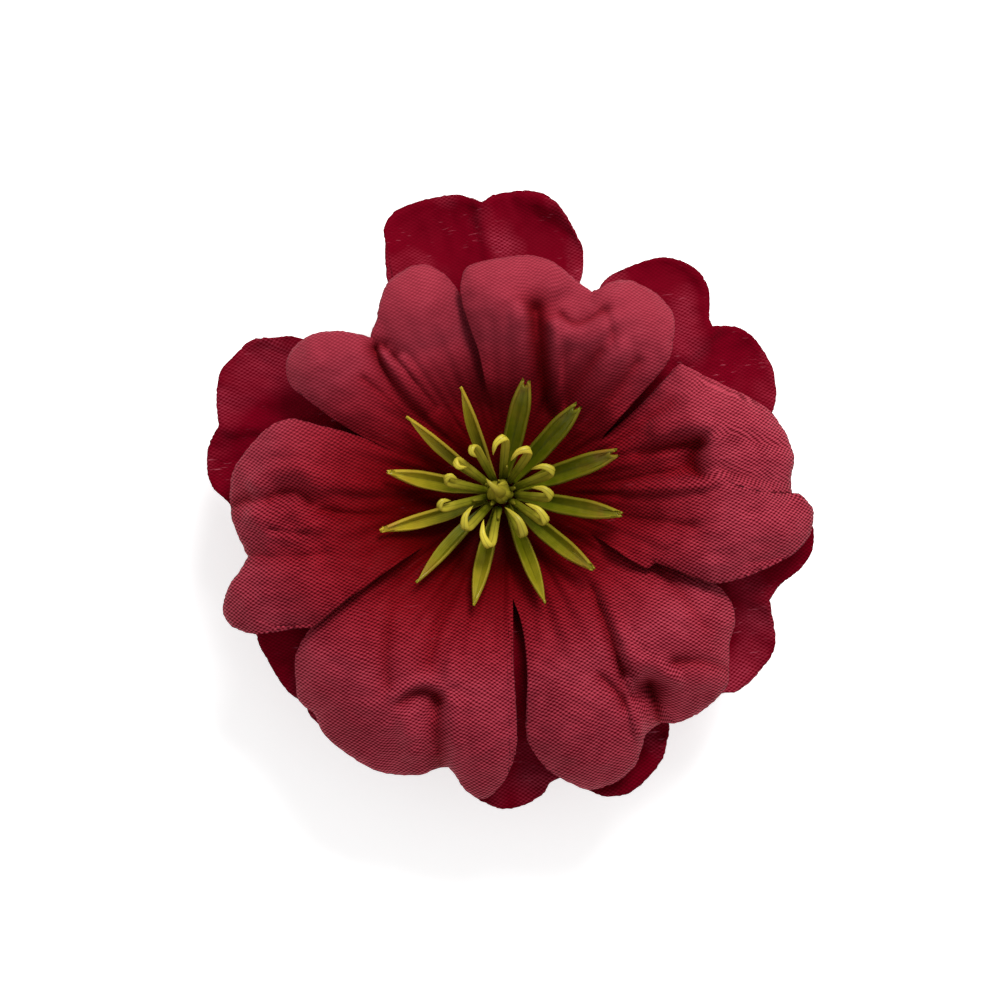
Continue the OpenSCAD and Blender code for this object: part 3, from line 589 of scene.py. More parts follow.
class Paint:
    """A material's nodes, with a Principled shader that is already joined to the output."""

    def __init__(self, name, **constants):
        self.material = bpy.data.materials.new(name)
        self.material.use_nodes = True
        self.tree = self.material.node_tree
        self.tree.nodes.clear()
        self.shader = self.tree.nodes.new("ShaderNodeBsdfPrincipled")
        out = self.tree.nodes.new("ShaderNodeOutputMaterial")
        self.tree.links.new(self.shader.outputs[0], out.inputs[0])
        for key, value in constants.items():
            self.shader.inputs[key.replace("_", " ")].default_value = value

    def add(self, kind, settings, sockets, output=0):
        node = self.tree.nodes.new(kind)
        for key, value in settings.items():
            setattr(node, key, value)
        for key, value in sockets.items():
            self.feed(node.inputs[key], value)
        return Wire(self, node.outputs[output])

    def feed(self, socket, value):
        if isinstance(value, Wire):
            self.tree.links.new(value.socket, socket)
        else:
            socket.default_value = value

    def set(self, **sockets):
        for key, value in sockets.items():
            self.feed(self.shader.inputs[key.replace("_", " ")], value)

    def mix(self, factor, a, b, blend="MIX"):
        settings = {"data_type": "RGBA", "blend_type": blend}
        return self.add("ShaderNodeMix", settings, {0: factor, 6: a, 7: b}, 2)

    def noise(self, vector, scale, detail=3.0, roughness=0.5):
        sockets = {"Vector": vector, "Scale": scale, "Detail": detail, "Roughness": roughness}
        return self.add("ShaderNodeTexNoise", {}, sockets)

    def place(self):
        return self.add("ShaderNodeTexCoord", {}, {}, 3)

    def uv(self):
        return self.add("ShaderNodeUVMap", {"uv_map": "flat"}, {})

    def split(self, vector):
        node = self.add("ShaderNodeSeparateXYZ", {}, {0: vector}).socket.node
        return [Wire(self, s) for s in node.outputs]

    def attribute(self, name):
        return self.add("ShaderNodeAttribute", {"attribute_name": name}, {}, 2)

    def map_range(self, value, low, high, to_low=0.0, to_high=1.0):
        sockets = {0: value, 1: low, 2: high, 3: to_low, 4: to_high}
        return self.add("ShaderNodeMapRange", {"clamp": True}, sockets)

    def mapping(self, vector, scale, turn=0.0):
        return self.add("ShaderNodeMapping", {}, {0: vector, 2: (0, 0, turn), 3: scale})

    def grey(self, value):
        return self.add("ShaderNodeCombineXYZ", {}, {0: value, 1: value, 2: value})

    def bump(self, height, strength, distance):
        sockets = {"Height": height, "Strength": strength, "Distance": distance}
        self.set(Normal=self.add("ShaderNodeBump", {}, sockets))


def rgba(colour):
    return (*colour, 1.0)


def woven_satin(name, light, dark, cloth, depth, glint, gloss, rim_light):
    """Woven satin: sin(x / warp) times sin(y / weft) in the flat cloth mixes the dark and light threads.

    Painted shade darkens and reddens the cloth in the folds and towards the hub, in an oval a little off its
    middle. The light thread's colour carries a painted highlight as well as its own pink. Slubs and soft
    patches vary the threads, the weave fades towards the hub, under the painted shade, and as y grows,
    patches of painted light brighten the outer cloth, and short thin streaks are painted glints."""
    p = Paint(name, Roughness=0.6, Sheen_Weight=0.03, Sheen_Roughness=0.4)
    p.shader.inputs["Sheen Tint"].default_value = (1.0, 0.4, 0.45, 1)
    p.shader.inputs["Specular IOR Level"].default_value = gloss
    flat = p.mapping(p.uv(), (1000, 1000, 1), math.radians(-WEAVE_TURN))
    x, y, _ = p.split(flat)
    hub = ((x + 3.4) * (x + 3.4) * 0.52 + (y + 2.2) * (y + 2.2)) ** 0.5
    wobble = p.noise(flat, 0.2, 2.0) - 0.5
    x = x + wobble * 0.7
    y = y + wobble * 0.5
    across = (x * (math.pi / (cloth.warp / MM))).sin()
    weave = across * (y * (math.pi / (cloth.weft / MM))).sin() * 0.5 + 0.5
    slub = p.noise(p.mapping(flat, (0.5, 5.0, 1)), 0.9, 2.0)
    patch = p.noise(flat, 0.16, 3.0)
    thread = (weave * 1.35 - 0.24 + (slub - 0.5) * 0.7 + (patch - 0.5) * 0.55).held()
    # The weave fades towards the hub, where the painted shade hides it, and as y grows.
    faded = (p.map_range(y, 4.0, 26.0, 0.0, 0.6) + p.map_range(hub, 9.0, 19.0, 0.6, 0.0)).held()
    mask = thread * (1 - faded) + faded * 0.5
    # Painted shade: darker towards the hub, darkest at it, and darker in the folds by the tone attribute.
    deep = p.map_range(hub, 9.0, 27.0, depth, 1.0) * p.map_range(hub, 3.0, 11.0, 0.45, 1.0)
    deep = deep * (1 - p.attribute("tone") * 0.42)
    # The light thread's colour is partly the thread's own pink and partly the satin's highlight, painted in.
    colour = p.mix(mask, rgba(dark), rgba(light))
    # Painted shade also deepens the red: green and blue fall off faster than red in the shaded parts.
    shade = p.add("ShaderNodeCombineXYZ", {}, {0: deep ** 0.8, 1: deep ** 3.2, 2: deep ** 2.8})
    # Painted glints: thin pale pink streaks over the cloth in some patches.
    glint_streaks = p.noise(p.mapping(flat, (0.4, 3.0, 1), 0.9), 1.0, 2.0)
    glints = (p.map_range(glint_streaks, 0.64, 0.74) * p.map_range(patch, 0.48, 0.6) * glint).held()
    colour = p.mix(glints, p.mix(1.0, colour, shade, "MULTIPLY"), (0.55, 0.12, 0.17, 1))
    # Painted light: patches of the outer cloth turned paler pink, where light catches the rims.
    painted_rim_light = p.map_range(p.noise(flat, 0.075, 2.0), 0.5, 0.66, 0.0, rim_light)
    painted_rim_light = painted_rim_light * p.map_range(hub, 24.0, 38.0) * thread
    p.set(Base_Color=p.mix(painted_rim_light.held(), colour, (0.42, 0.045, 0.08, 1)), Roughness=0.72 - mask * 0.3)
    crumple = p.noise(flat, 0.7, 3.0)
    p.bump(weave * 0.5 + crumple * 1.6, 0.6, 0.00012)
    return p.material


# ---- settings ----


def colour_setting(name, about, default):
    """A colour property."""
    return FloatVectorProperty(name=name, description=about, subtype="COLOR", default=default, min=0, max=1)


def length_setting(name, about, default, low, high):
    """A length property, in metres."""
    return FloatProperty(name=name, description=about, default=default, min=low, max=high,
                         unit="LENGTH", precision=5)


class FlowerSettings(PropertyGroup):
    """Sizes and colours of the cloth petals."""

    cloth: length_setting("Cloth thickness", "Thickness of the petals' cloth", 0.00022, 0.0001, 0.0006)
    curl: length_setting("Edge curl", "How far an upper petal's edge turns down", 0.0034, 0, 0.006)
    warp: length_setting("Warp pitch", "Half the weave's repeat along the cloth", 0.00043, 0.0001, 0.002)
    weft: length_setting("Weft pitch", "Half the weave's repeat across the cloth", 0.00028, 0.0001, 0.002)
    # The upper light thread is partly its own pink and partly a painted highlight of the satin.
    upper_light_thread_and_highlight: colour_setting("Upper light thread", "Light thread of the upper petals", (0.41, 0.043, 0.07))
    upper_dark: colour_setting("Upper dark thread", "Dark thread of the upper petals", (0.07, 0.0, 0.003))
    # The lower threads are darker and redder than the upper ones: painted shade from the upper layer over
    # them.
    lower_light_thread_and_shade: colour_setting("Lower light thread", "Light thread of the lower petals",
                                (0.165, 0.0003, 0.009))
    lower_dark_thread_and_shade: colour_setting("Lower dark thread", "Dark thread of the lower petals", (0.09, 0.0, 0.0035))


class CentreSettings(PropertyGroup):
    """Sizes and colours of the moulded green centre."""

    leaflet_width: length_setting("Leaflet width", "Greatest width of an outer leaflet", 0.0033, 0.001, 0.004)
    hook_width: length_setting("Hook width", "Width of an inner hook", 0.0014, 0.0008, 0.002)
    green: colour_setting("Green", "Unripe plastic colour", (0.075, 0.09, 0.0))
    yellow: colour_setting("Yellow", "Ripe plastic colour of the leaflets", (0.5, 0.375, 0.018))
    pale: colour_setting("Pale yellow", "Ripe plastic colour of the hooks and bud", (0.68, 0.55, 0.05))


class BackSettings(PropertyGroup):
    """Colour of the felt and roundness of the spring."""

    felt: colour_setting("Felt", "Colour of the felt disc", (0.12, 0.006, 0.014))
    wire_sides: IntProperty(name="Wire sides", description="Flats round the spring wire",
                            default=14, min=6, max=32)


class StageSettings(PropertyGroup):
    """Camera height and light strengths."""

    height: length_setting("Camera height", "Height of the camera over the flower", 0.45, 0.1, 2)
    key: FloatProperty(name="Key light", description="Power of the key light",
                       default=4.3, min=0, subtype="POWER")
    fill: FloatProperty(name="Fill light", description="Power of the overhead fill",
                        default=0.9, min=0, subtype="POWER")


def mm_box(node):
    """A CAD node's box, in millimetres."""
    low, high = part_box(node)
    return np.array(low) / MM, np.array(high) / MM


# ---- operators ----


def petal_layer(name, petals, node, shape, material, grid, seed, thickness):
    """All of a layer's petals as one sheet of cloth, merged along the lines where they meet."""
    foot = mm_box(node)[0][2] + CLOTH_MIDDLE
    parts = []
    for k, petal in enumerate(petals):
        points, uv, fold_shade = petal_surface(petal, shape, seed + k, *grid)
        points[..., 2] += foot
        parts.append((points.reshape(-1, 3), grid_faces(*grid), uv.reshape(-1, 2) * MM, fold_shade.ravel()))
    piece = make_piece(name, *join(parts), merge=1e-6)
    if face_values(piece.data, "normal", 3)[2::3].sum() < 0:
        piece.data.flip_normals()
    thicken(piece, "Cloth thickness", thickness)
    finish_piece(piece, node, material)
    area = float(face_values(piece.data, "area").sum())


class FLOWERCLIP_OT_lower_petals(Operator):
    """Builds the lower layer of cloth petals."""

    bl_idname = "flower_clip.lower_petals"
    bl_label = "Lower Petals"

    def execute(self, context):
        s = context.scene.flower_clip_petals
        low, high = mm_box("lower_petal_layer")
        shape = dict(hub=5.5, crest_at=27, crest=high[2] - low[2] - 0.6, reach=46, fall=4,
                     curl=-0.8, curl_width=2.5)
        # The last arguments set the painted shade at the hub, the painted glints, the gloss and the painted
        # rim light.
        material = woven_satin("lower satin", s.lower_light_thread_and_shade, s.lower_dark_thread_and_shade, s,
                               depth=0.72, glint=0.45, gloss=0.01, rim_light=0.6)
        petal_layer("lower_petals", LOWER_PETALS, "lower_petal_layer", shape, material,
                    grid=(56, 110), seed=30, thickness=s.cloth)
        return {"FINISHED"}


class FLOWERCLIP_OT_upper_petals(Operator):
    """Builds the upper layer of cloth petals."""

    bl_idname = "flower_clip.upper_petals"
    bl_label = "Upper Petals"

    def execute(self, context):
        s = context.scene.flower_clip_petals
        low, high = mm_box("upper_petal_layer")
        shape = dict(hub=5.5, crest_at=28, crest=high[2] - low[2] - 1.6, reach=45, fall=4.5,
                     curl=s.curl / MM, curl_width=3.0)
        # The last arguments set the painted shade at the hub, the painted glints, the gloss and the painted
        # rim light.
        material = woven_satin("upper satin", s.upper_light_thread_and_highlight, s.upper_dark, s,
                               depth=0.25, glint=0.1, gloss=0.02, rim_light=0.0)
        petal_layer("upper_petals", UPPER_PETALS, "upper_petal_layer", shape, material,
                    grid=(74, 104), seed=10, thickness=s.cloth)
        return {"FINISHED"}


def leaflet_surface(angle, reach, roll, ripe, split, base, rise, width):
    """One leaflet, a grid of s across (-1 to 1) and t along (0 to 1).

    Its half width swells to a third of the way and narrows beyond 0.58 to 0.7 by a power of t, to a point
    or to a narrow end whose length is a W in s, so that it ends in two small teeth. Both halves fold up
    from the middle line."""
    t = np.linspace(0, 1, LEAFLET_GRID[0])[:, None]
    s = np.linspace(-1, 1, LEAFLET_GRID[1])[None, :]
    off = np.abs(s)
    tooth = np.where(off < 0.75, (off / 0.75) ** 0.8, 1 - (off - 0.75) / 0.25 * 0.5)
    length = (reach - LEAFLET_ROOT) * (1 - 0.085 * split * (1 - tooth))
    along = LEAFLET_ROOT + length * t
    start = 0.58 + 0.12 * split
    narrow = np.clip((t - start) / (1 - start), 0, 1) ** 1.7
    half = width * (0.38 + 0.1 * split) * (0.5 + 0.5 * smooth(t / 0.45))
    half = half * (1 - (0.95 - 0.42 * split) * narrow)
    across = half * s
    lift = half * (0.62 - 0.22 * t) * off ** 1.2 - 0.12 * half * np.cos(np.pi * s)
    r = math.radians(roll)
    y = across * math.cos(r) - lift * math.sin(r)
    z = across * math.sin(r) + lift * math.cos(r)
    z = z + base + rise * (0.45 * t + 0.55 * t**2) - 0.5 * smooth((t - 0.8) / 0.2)
    a = math.radians(angle)
    points = np.stack([along * math.cos(a) - y * math.sin(a), along * math.sin(a) + y * math.cos(a), z], -1)
    flat = np.stack([0.5 + 0.5 * s + 0 * t, t + 0 * s], -1)
    # The tone is the leaflet's ripeness, on the left leaflets partly painted light.
    tone = np.full(points[..., 0].size, ripe)
    return points.reshape(-1, 3), grid_faces(*LEAFLET_GRID), flat.reshape(-1, 2), tone


def ripe_plastic(name, green, yellow):
    """Moulded plastic: green at the foot and yellow at the tip by the piece's own ripeness, which on the
    leaflets is partly painted light, with a paler rim, a brown blush, fine veins and painted shade along the
    middle crease."""
    p = Paint(name, Roughness=0.4, Coat_Weight=0.1, Coat_Roughness=0.2)
    p.shader.inputs["Specular IOR Level"].default_value = 0.12
    s, t, _ = p.split(p.uv())
    tone = p.attribute("tone")
    mottling = p.noise(p.place(), 600.0, 3.0)
    side = (s - 0.5).math("ABSOLUTE") * 2
    rim = p.map_range(side, 0.86, 1.0)
    grow = (p.map_range(t, 0.35, 1.0) * (0.12 + tone) + (mottling - 0.5) * 0.3 + tone * 0.16).held()
    colour = p.mix(grow, rgba(green), rgba(yellow))
    colour = p.mix(rim * (0.12 + tone * 0.5), colour, (0.42, 0.28, 0.03, 1))
    blush = (p.map_range(t, 0.6, 0.95) * p.map_range(p.noise(p.place(), 260.0, 2.0), 0.5, 0.68) * 0.55).held()
    colour = p.mix(blush, colour, (0.28, 0.09, 0.015, 1))
    veins = (s * 70.0).sin() * 0.5 + 0.5
    colour = p.mix(veins * 0.18, colour, (0.03, 0.045, 0.0, 1))
    # Painted shade along the middle crease, where both halves fold up.
    crease_shade = p.map_range(side, 0.0, 0.16, 0.5, 0.0)
    colour = p.mix(crease_shade, colour, (0.025, 0.035, 0.0, 1))
    p.set(Base_Color=colour, Roughness=0.28 + mottling * 0.24)
    p.bump(veins * 0.5 + mottling, 0.3, 0.00008)
    return p.material


class FLOWERCLIP_OT_leaflets(Operator):
    """Builds the outer ring of moulded leaflets on its hub."""

    bl_idname = "flower_clip.leaflets"
    bl_label = "Outer Leaflets"

    def execute(self, context):
        s = context.scene.flower_clip_centre
        low, high = mm_box("outer_leaflet_ring")
        rise = high[2] - low[2] - 1.6
        parts = [leaflet_surface(*row, low[2] + 0.7, rise, s.leaflet_width / MM) for row in LEAFLETS]
        piece = make_piece("outer_leaflets", *join(parts))
        thicken(piece, "Leaflet thickness", LEAFLET_SHEET, -1)
        material = ripe_plastic("leaflet plastic", s.green, s.yellow)
        finish_piece(piece, "outer_leaflet_ring", material)
        return {"FINISHED"}


def hook_surface(elbow, out, tip, inn, ripe, base, width, climb):
    """One hook: a flattened tube that climbs outwards to its elbow and bends over to a pointed tip."""
    a, b = math.radians(elbow), math.radians(tip)
    e = np.array([math.cos(a), math.sin(a)])
    end = inn * np.array([math.cos(b), math.sin(b)])
    knee = out * e
    way = (knee - end) / np.linalg.norm(knee - end)
    # The claw bows away from the flower's middle, so that its gap to the stem shows.
    bow = np.array([-way[1], way[0]])
    bow = bow * math.copysign(0.75, float(bow @ e) if abs(bow @ e) > 0.15 else 1.0)
    top = knee * 0.55 + end * 0.45 + bow
    rows = [
        (*(2.2 * e), 0.4), (*(0.42 * knee), 0.28 * climb), (*(0.74 * knee), 0.6 * climb),
        (*(0.95 * knee), 0.86 * climb), (*(knee * 0.97 + end * 0.03 + 0.5 * bow), 0.97 * climb),
        (*top, climb), (*(knee * 0.2 + end * 0.8 + 0.5 * bow), 0.93 * climb), (*end, 0.8 * climb),
    ]
    path = curve(rows, 40)
    t = np.linspace(0, 1, len(path))
    turn = smooth((t - 0.45) / 0.25)[:, None]
    side = (1 - turn) * np.array([-e[1], e[0]]) + turn * np.array([-way[1], way[0]])
    side = np.concatenate([side, np.zeros((len(t), 1))], axis=1)
    wide = width * (0.75 + 0.2 * smooth(t / 0.5)) * (1 - 0.95 * np.clip((t - 0.66) / 0.34, 0, 1) ** 1.4)
    deep = 0.8 * (0.95 - 0.2 * t) * (1 - 0.9 * np.clip((t - 0.85) / 0.15, 0, 1))
    rings = tube(path, side, wide, deep)
    across = 0.5 + 0.5 * np.cos(np.linspace(0, 2 * np.pi, rings.shape[1], endpoint=False))
    return tube_part(rings, base, across, 0.1, 1, ripe + 0.12)


class FLOWERCLIP_OT_hooks(Operator):
    """Builds the inner ring of moulded hooks on its hub."""

    bl_idname = "flower_clip.hooks"
    bl_label = "Inner Hooks"

    def execute(self, context):
        s = context.scene.flower_clip_centre
        low, high = mm_box("inner_hook_ring")
        climb = high[2] - low[2] - 0.6
        parts = [hook_surface(*row, low[2] + 0.4, s.hook_width / MM, climb) for row in HOOKS]
        piece = make_piece("inner_hooks", *join(parts), merge=1e-6)
        material = ripe_plastic("hook plastic", s.green, s.pale)
        finish_piece(piece, "inner_hook_ring", material)
        return {"FINISHED"}


def bud_surface(base, radius, height):
    """The bud: rings whose radius swells and closes as a sine, with five uneven ribs that wind as they
    rise and lumps of three and eight waves, leaning over as it rises."""
    t = np.linspace(0, 1, BUD_GRID[0])[:, None]
    a = np.linspace(0, 2 * np.pi, BUD_GRID[1], endpoint=False)[None, :]
    ribs = np.cos(5 * a + 2.4 * t)
    lumps = 0.09 * ribs + 0.07 * np.sin(3 * a + 5 * t + 1) + 0.05 * np.sin(8 * a - 6 * t) * t
    size = radius * np.sin(np.pi * (0.16 + 0.84 * t)) ** 0.7 * (1 + lumps)
    size[-1] = 0
    lean = 0.9 * t**2
    z = base + height * (t + 0.03 * np.sin(9 * a) * t * (1 - t))
    points = np.stack([size * np.cos(a) - lean, size * np.sin(a) + lean, z], -1).reshape(-1, 3)
    flat = np.stack([0.5 + 0.4 * ribs, 0.25 + 0.5 * t + 0 * a], -1).reshape(-1, 2)
    return points, grid_faces(*BUD_GRID, wrap=True), flat, np.full(len(points), 0.6)


def stub_surface(angle, root, out, climb, base):
    """A short pointed stub: a flattened tube that leans outwards from the bud's foot."""
    a = math.radians(angle)
    e = np.array([math.cos(a), math.sin(a)])
    middle = (root * 0.45 + out * 0.55) * e
    path = curve([(*(root * e), 0.2), (*middle, 0.5 * climb), (*(out * e), 0.85 * climb),
                  (*(out * 0.94 * e), climb)], 14)
    t = np.linspace(0, 1, 14)
    rings = tube(path, (-e[1], e[0], 0), 0.9 * (1 - 0.85 * t**2), 0.6 * (1 - 0.8 * t**2), 10)
    return tube_part(rings, base, 0.5, 0.1, 0.9, 0.6)


class FLOWERCLIP_OT_bud(Operator):
    """Builds the bud with its beak and stubs, and the stem that runs through the flower."""

    bl_idname = "flower_clip.bud"
    bl_label = "Centre Bud"

    def execute(self, context):
        s = context.scene.flower_clip_centre
        low, high = mm_box("centre_bud")
        foot = mm_box("inner_hook_ring")[0][2] + 1.4
        parts = [bud_surface(foot, BUD_RADIUS, high[2] - foot - 0.9)]
        parts += [stub_surface(*row, foot) for row in STUBS]
        t = np.linspace(0, 1, 20)
        beak = curve([(0, 0, 0.5), (0.1, -0.1, 3.2), (-0.7, 0.5, 5.6), (-1.7, 1.5, 6.3), (-2.2, 2.1, 5.7)],
                     len(t))
        rings = tube(beak, (0.7, 0.7, 0), 1.9 * (1 - 0.93 * t**2.2), 1.3 * (1 - 0.9 * t**2), 12)
        parts.append(tube_part(rings, foot, 0.5, 0.5, 1, 1.0))
        # The stem: a round rod from the back cap up into the bud, with a slight waist.
        height = np.linspace(low[2], foot + 1.0, 12)
        path = np.stack([0 * height, 0 * height, height], -1)
        size = STEM_WIDTH - 0.06 * np.sin(np.linspace(0, np.pi, 12))
        parts.append(tube_part(tube(path, (1, 0, 0), size, size, 24), 0, 0.3, 0.3, 0.3, 0.2))
        piece = make_piece("bud", *join(parts), merge=1e-6)
        finish_piece(piece, "centre_bud", ripe_plastic("bud plastic", s.green, s.pale))
        return {"FINISHED"}


def felt_material(colour):
    """Felt: fine noise for the fibres, paler in soft patches, with a slight sheen."""
    p = Paint("felt", Roughness=0.95, Sheen_Weight=0.12, Sheen_Roughness=0.5)
    p.shader.inputs["Specular IOR Level"].default_value = 0.1
    fine = p.noise(p.place(), 2600.0, 6.0, 0.75)
    patch = p.noise(p.place(), 220.0, 4.0)
    light = tuple(min(1.0, c * 2.1 + 0.01) for c in colour)
    p.set(Base_Color=p.mix((fine * 0.7 + patch * 0.5 - 0.25).held(), rgba(colour), rgba(light)))
    p.bump(fine + patch * 0.5, 0.9, 0.00025)
    return p.material


def steel_material(name, tint, brushed):
    """Plated steel: fine brushing along the clip and duller smudges."""
    p = Paint(name, Metallic=1.0, Roughness=0.2)
    streaks = p.noise(p.mapping(p.place(), (60, 2400, 900)), 1.0, 3.0)
    smudge = p.noise(p.place(), 160.0, 4.0)
    dull = tuple(c * 0.72 for c in tint)
    p.set(Base_Color=p.mix((smudge * 0.8 - 0.15).held(), rgba(tint), rgba(dull)),
          Roughness=0.1 + brushed * 0.15 + smudge * 0.16 + streaks * (0.1 + brushed * 0.15))
    p.bump(streaks, 0.12 + brushed * 0.1, 0.00003)
    return p.material


def glue_material():
    """Hot-melt glue: milky, with cloudy patches and a smooth skin."""
    p = Paint("hot melt glue", Roughness=0.35, Coat_Weight=0.3, Coat_Roughness=0.25)
    cloud = p.noise(p.place(), 420.0, 4.0)
    p.set(Base_Color=p.mix(cloud, (0.66, 0.6, 0.44, 1), (0.86, 0.82, 0.7, 1)), Roughness=0.28 + cloud * 0.2)
    p.bump(p.noise(p.place(), 900.0, 3.0), 0.4, 0.0002)
    return p.material


def moulded_plastic(name, colour):
    """Moulded plastic: faint swirls from the mould, a fine grain and slightly worn, paler patches."""
    p = Paint(name, Roughness=0.45, Coat_Weight=0.15, Coat_Roughness=0.3)
    swirl = p.noise(p.place(), 300.0, 4.0)
    grain = p.noise(p.place(), 2400.0, 3.0)
    pale = tuple(min(1.0, c * 1.5 + 0.02) for c in colour)
    worn = (swirl * 0.7 + grain * 0.3 - 0.1).held()
    p.set(Base_Color=p.mix(worn, rgba(colour), rgba(pale)), Roughness=0.38 + grain * 0.2)
    p.bump(grain * 0.4 + swirl, 0.3, 0.0001)
    return p.material


def felt_sheet(material):
    """The felt: a disc whose rim wanders by a random walk and whose face bulges by soft ripples."""
    low, high = mm_box("felt_disc")
    radius = (high[0] - low[0]) / 2
    rows, count = FELT_GRID
    a = np.linspace(0, 2 * np.pi, count, endpoint=False)[None, :]
    t = np.linspace(0, 1, rows)[:, None]
    rng = np.random.default_rng(5)
    ragged = np.cumsum(rng.normal(0, 1, (1, count)), axis=1)
    ragged = ragged - np.linspace(0, 1, count)[None, :] * ragged[:, -1:]
    fuzz = 0.06 * ragged / np.abs(ragged).max() + rng.normal(0, 0.04, (1, count))
    r = (radius + fuzz) * t
    xy = np.stack([r * np.cos(a), r * np.sin(a)], -1)
    z = (low[2] + high[2]) / 2 + 0.12 * ripples(xy, 8, 11.0) * smooth((r - 9) / 5) * 0.6
    points = np.concatenate([xy, z[..., None]], -1).reshape(-1, 3)
    felt = make_piece("felt_backing", points, grid_faces(rows, count, wrap=True), xy.reshape(-1, 2) * MM,
                      merge=1e-7)
    thicken(felt, "Felt thickness", (high[2] - low[2]) * MM * 0.98)
    bevel = felt.modifiers.new("Soft rim", "BEVEL")
    bevel.width = 0.00035
    bevel.segments = 3
    finish_piece(felt, "felt_disc", material)


def glue_band(name, node, wander, roundness, material):
    """Glue squeezed out between two faces: a superellipse whose outline wanders by three sines, and
    whose side is rounded by a square."""
    low, high = mm_box(node)
    half = (high - low)[:2] / 2
    rows, count = GLUE_GRID
    k = np.linspace(0, 2 * np.pi, count, endpoint=False)[None, :]
    x = np.sign(np.cos(k)) * np.abs(np.cos(k)) ** (2 / roundness) * half[0]
    y = np.sign(np.sin(k)) * np.abs(np.sin(k)) ** (2 / roundness) * half[1]
    wave = np.sin(5 * k + 1) * 0.5 + np.sin(11 * k) * 0.3 + np.sin(17 * k + 2) * 0.2
    wave = 1 + (wander / half.max()) * wave
    side = 1 - 0.18 * np.linspace(-1, 1, rows)[:, None] ** 2
    side[[1, -2]] = 0.86
    side[[0, -1]] = 0
    z = low[2] + (high[2] - low[2]) * np.linspace(0, 1, rows)[:, None] + 0 * k
    points = np.stack([x * wave * side, y * wave * side, z], -1).reshape(-1, 3)
    band = make_piece(name, points, grid_faces(rows, count, wrap=True), merge=1e-7)
    finish_piece(band, node, material)


class FLOWERCLIP_OT_backing(Operator):
    """Builds the felt disc and the glue, and finishes the back cap and spacer."""

    bl_idname = "flower_clip.backing"
    bl_label = "Backing"

    def execute(self, context):
        felt_sheet(felt_material(context.scene.flower_clip_back.felt))
        glue = glue_material()
        glue_band("cap_glue", "cap_glue_layer", 0.35, 2.0, glue)
        glue_band("clip_glue", "clip_glue_bead", 0.45, 3.2, glue)
        dress("back_cap", moulded_plastic("cap plastic", (0.1, 0.15, 0.02)))
        dress("petal_spacer", moulded_plastic("spacer plastic", (0.13, 0.18, 0.02)))
        return {"FINISHED"}


def dress(node, material):
    """Puts a material on a CAD node."""
    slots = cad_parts[node].data.materials
    slots.clear()
    slots.append(material)


def lower_foot():
    """The foot of the spring's lower leg about the hinge, seated on the lever's upper side."""
    lever = math.radians(LEVER_ANGLE)
    seat = SPRING_WIRE / 2 + 0.05
    return np.array([-SPRING_LEG * math.cos(lever) - seat * math.sin(lever),
                     -LEVER_DROP - SPRING_LEG * math.sin(lever) + seat * math.cos(lever)])


class FLOWERCLIP_OT_spring(Operator):
    """Builds the torsion spring that runs from the upper arm to the lever: a helix with two straight legs
    that leave it as tangents."""

    bl_idname = "flower_clip.spring"
    bl_label = "Torsion Spring"

    def execute(self, context):
        s = context.scene.flower_clip_back
        low, high = mm_box("torsion_spring")
        hinge = sum(mm_box("hinge_pin")) / 2
        coil = high[0] - hinge[0] - SPRING_WIRE / 2
        half = (high[1] - low[1]) / 2 - SPRING_WIRE / 2
        upper = np.array([low[0] - hinge[0], high[2] - hinge[2] - SPRING_WIRE / 2])
        lower = lower_foot()
        start = math.atan2(upper[1], upper[0]) - math.acos(coil / np.linalg.norm(upper))
        stop = math.atan2(lower[1], lower[0]) + math.acos(coil / np.linalg.norm(lower)) - 2 * math.pi
        # As many whole turns as fit at a pitch a little over the wire's thickness.
        sweep = 2 * half / (1.06 * SPRING_WIRE) * 2 * math.pi
        turns = round((sweep - start + stop) / (2 * math.pi))
        sweep = start - stop + 2 * math.pi * turns
        k = np.linspace(0, 1, 40 * (turns + 1))
        angle = start - sweep * k
        body = np.stack([coil * np.cos(angle), -half + 2 * half * k, coil * np.sin(angle)], -1)
        leg = np.linspace(0, 1, 24)[:, None]
        first = np.array([upper[0], -half, upper[1]])
        last = np.array([lower[0], half, lower[1]])
        upper_leg = first + (body[0] - first) * leg[:-1]
        lower_leg = body[-1] + (last - body[-1]) * leg[1:]
        path = np.vstack([upper_leg, body, lower_leg]) + hinge
        size = np.full(len(path), SPRING_WIRE)
        whole, faces = closed_tube(tube(path, (0, 1, 0), size, size, s.wire_sides))
        piece = make_piece("spring_coil", whole.reshape(-1, 3), faces, merge=1e-7)
        material = steel_material("spring steel", (0.42, 0.42, 0.44), 0.6)
        finish_piece(piece, "torsion_spring", material, body=None)
        x, y, z = hinge * MM
        y - half * MM
        y + half * MM
        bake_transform(piece)
        return {"FINISHED"}


class FLOWERCLIP_OT_clip(Operator):
    """Finishes the steel arms and the hinge pin."""

    bl_idname = "flower_clip.clip"
    bl_label = "Clip Steel"

    def execute(self, context):
        plated = steel_material("plated steel", (0.56, 0.56, 0.58), 0.25)
        dress("clip_upper_arm", plated)
        dress("clip_lower_arm", plated)
        dress("hinge_pin", steel_material("pin steel", (0.46, 0.46, 0.48), 0.5))
        return {"FINISHED"}


def area_light(name, place, size, power):
    """A square area light that faces the flower."""
    data = bpy.data.lights.new(name, "AREA")
    data.size = size
    data.energy = power
    light = bpy.data.objects.new(name, data)
    bpy.context.scene.collection.objects.link(light)
    light.location = place
    light.rotation_euler = (Vector(AIM) - Vector(place)).to_track_quat("-Z", "Y").to_euler()


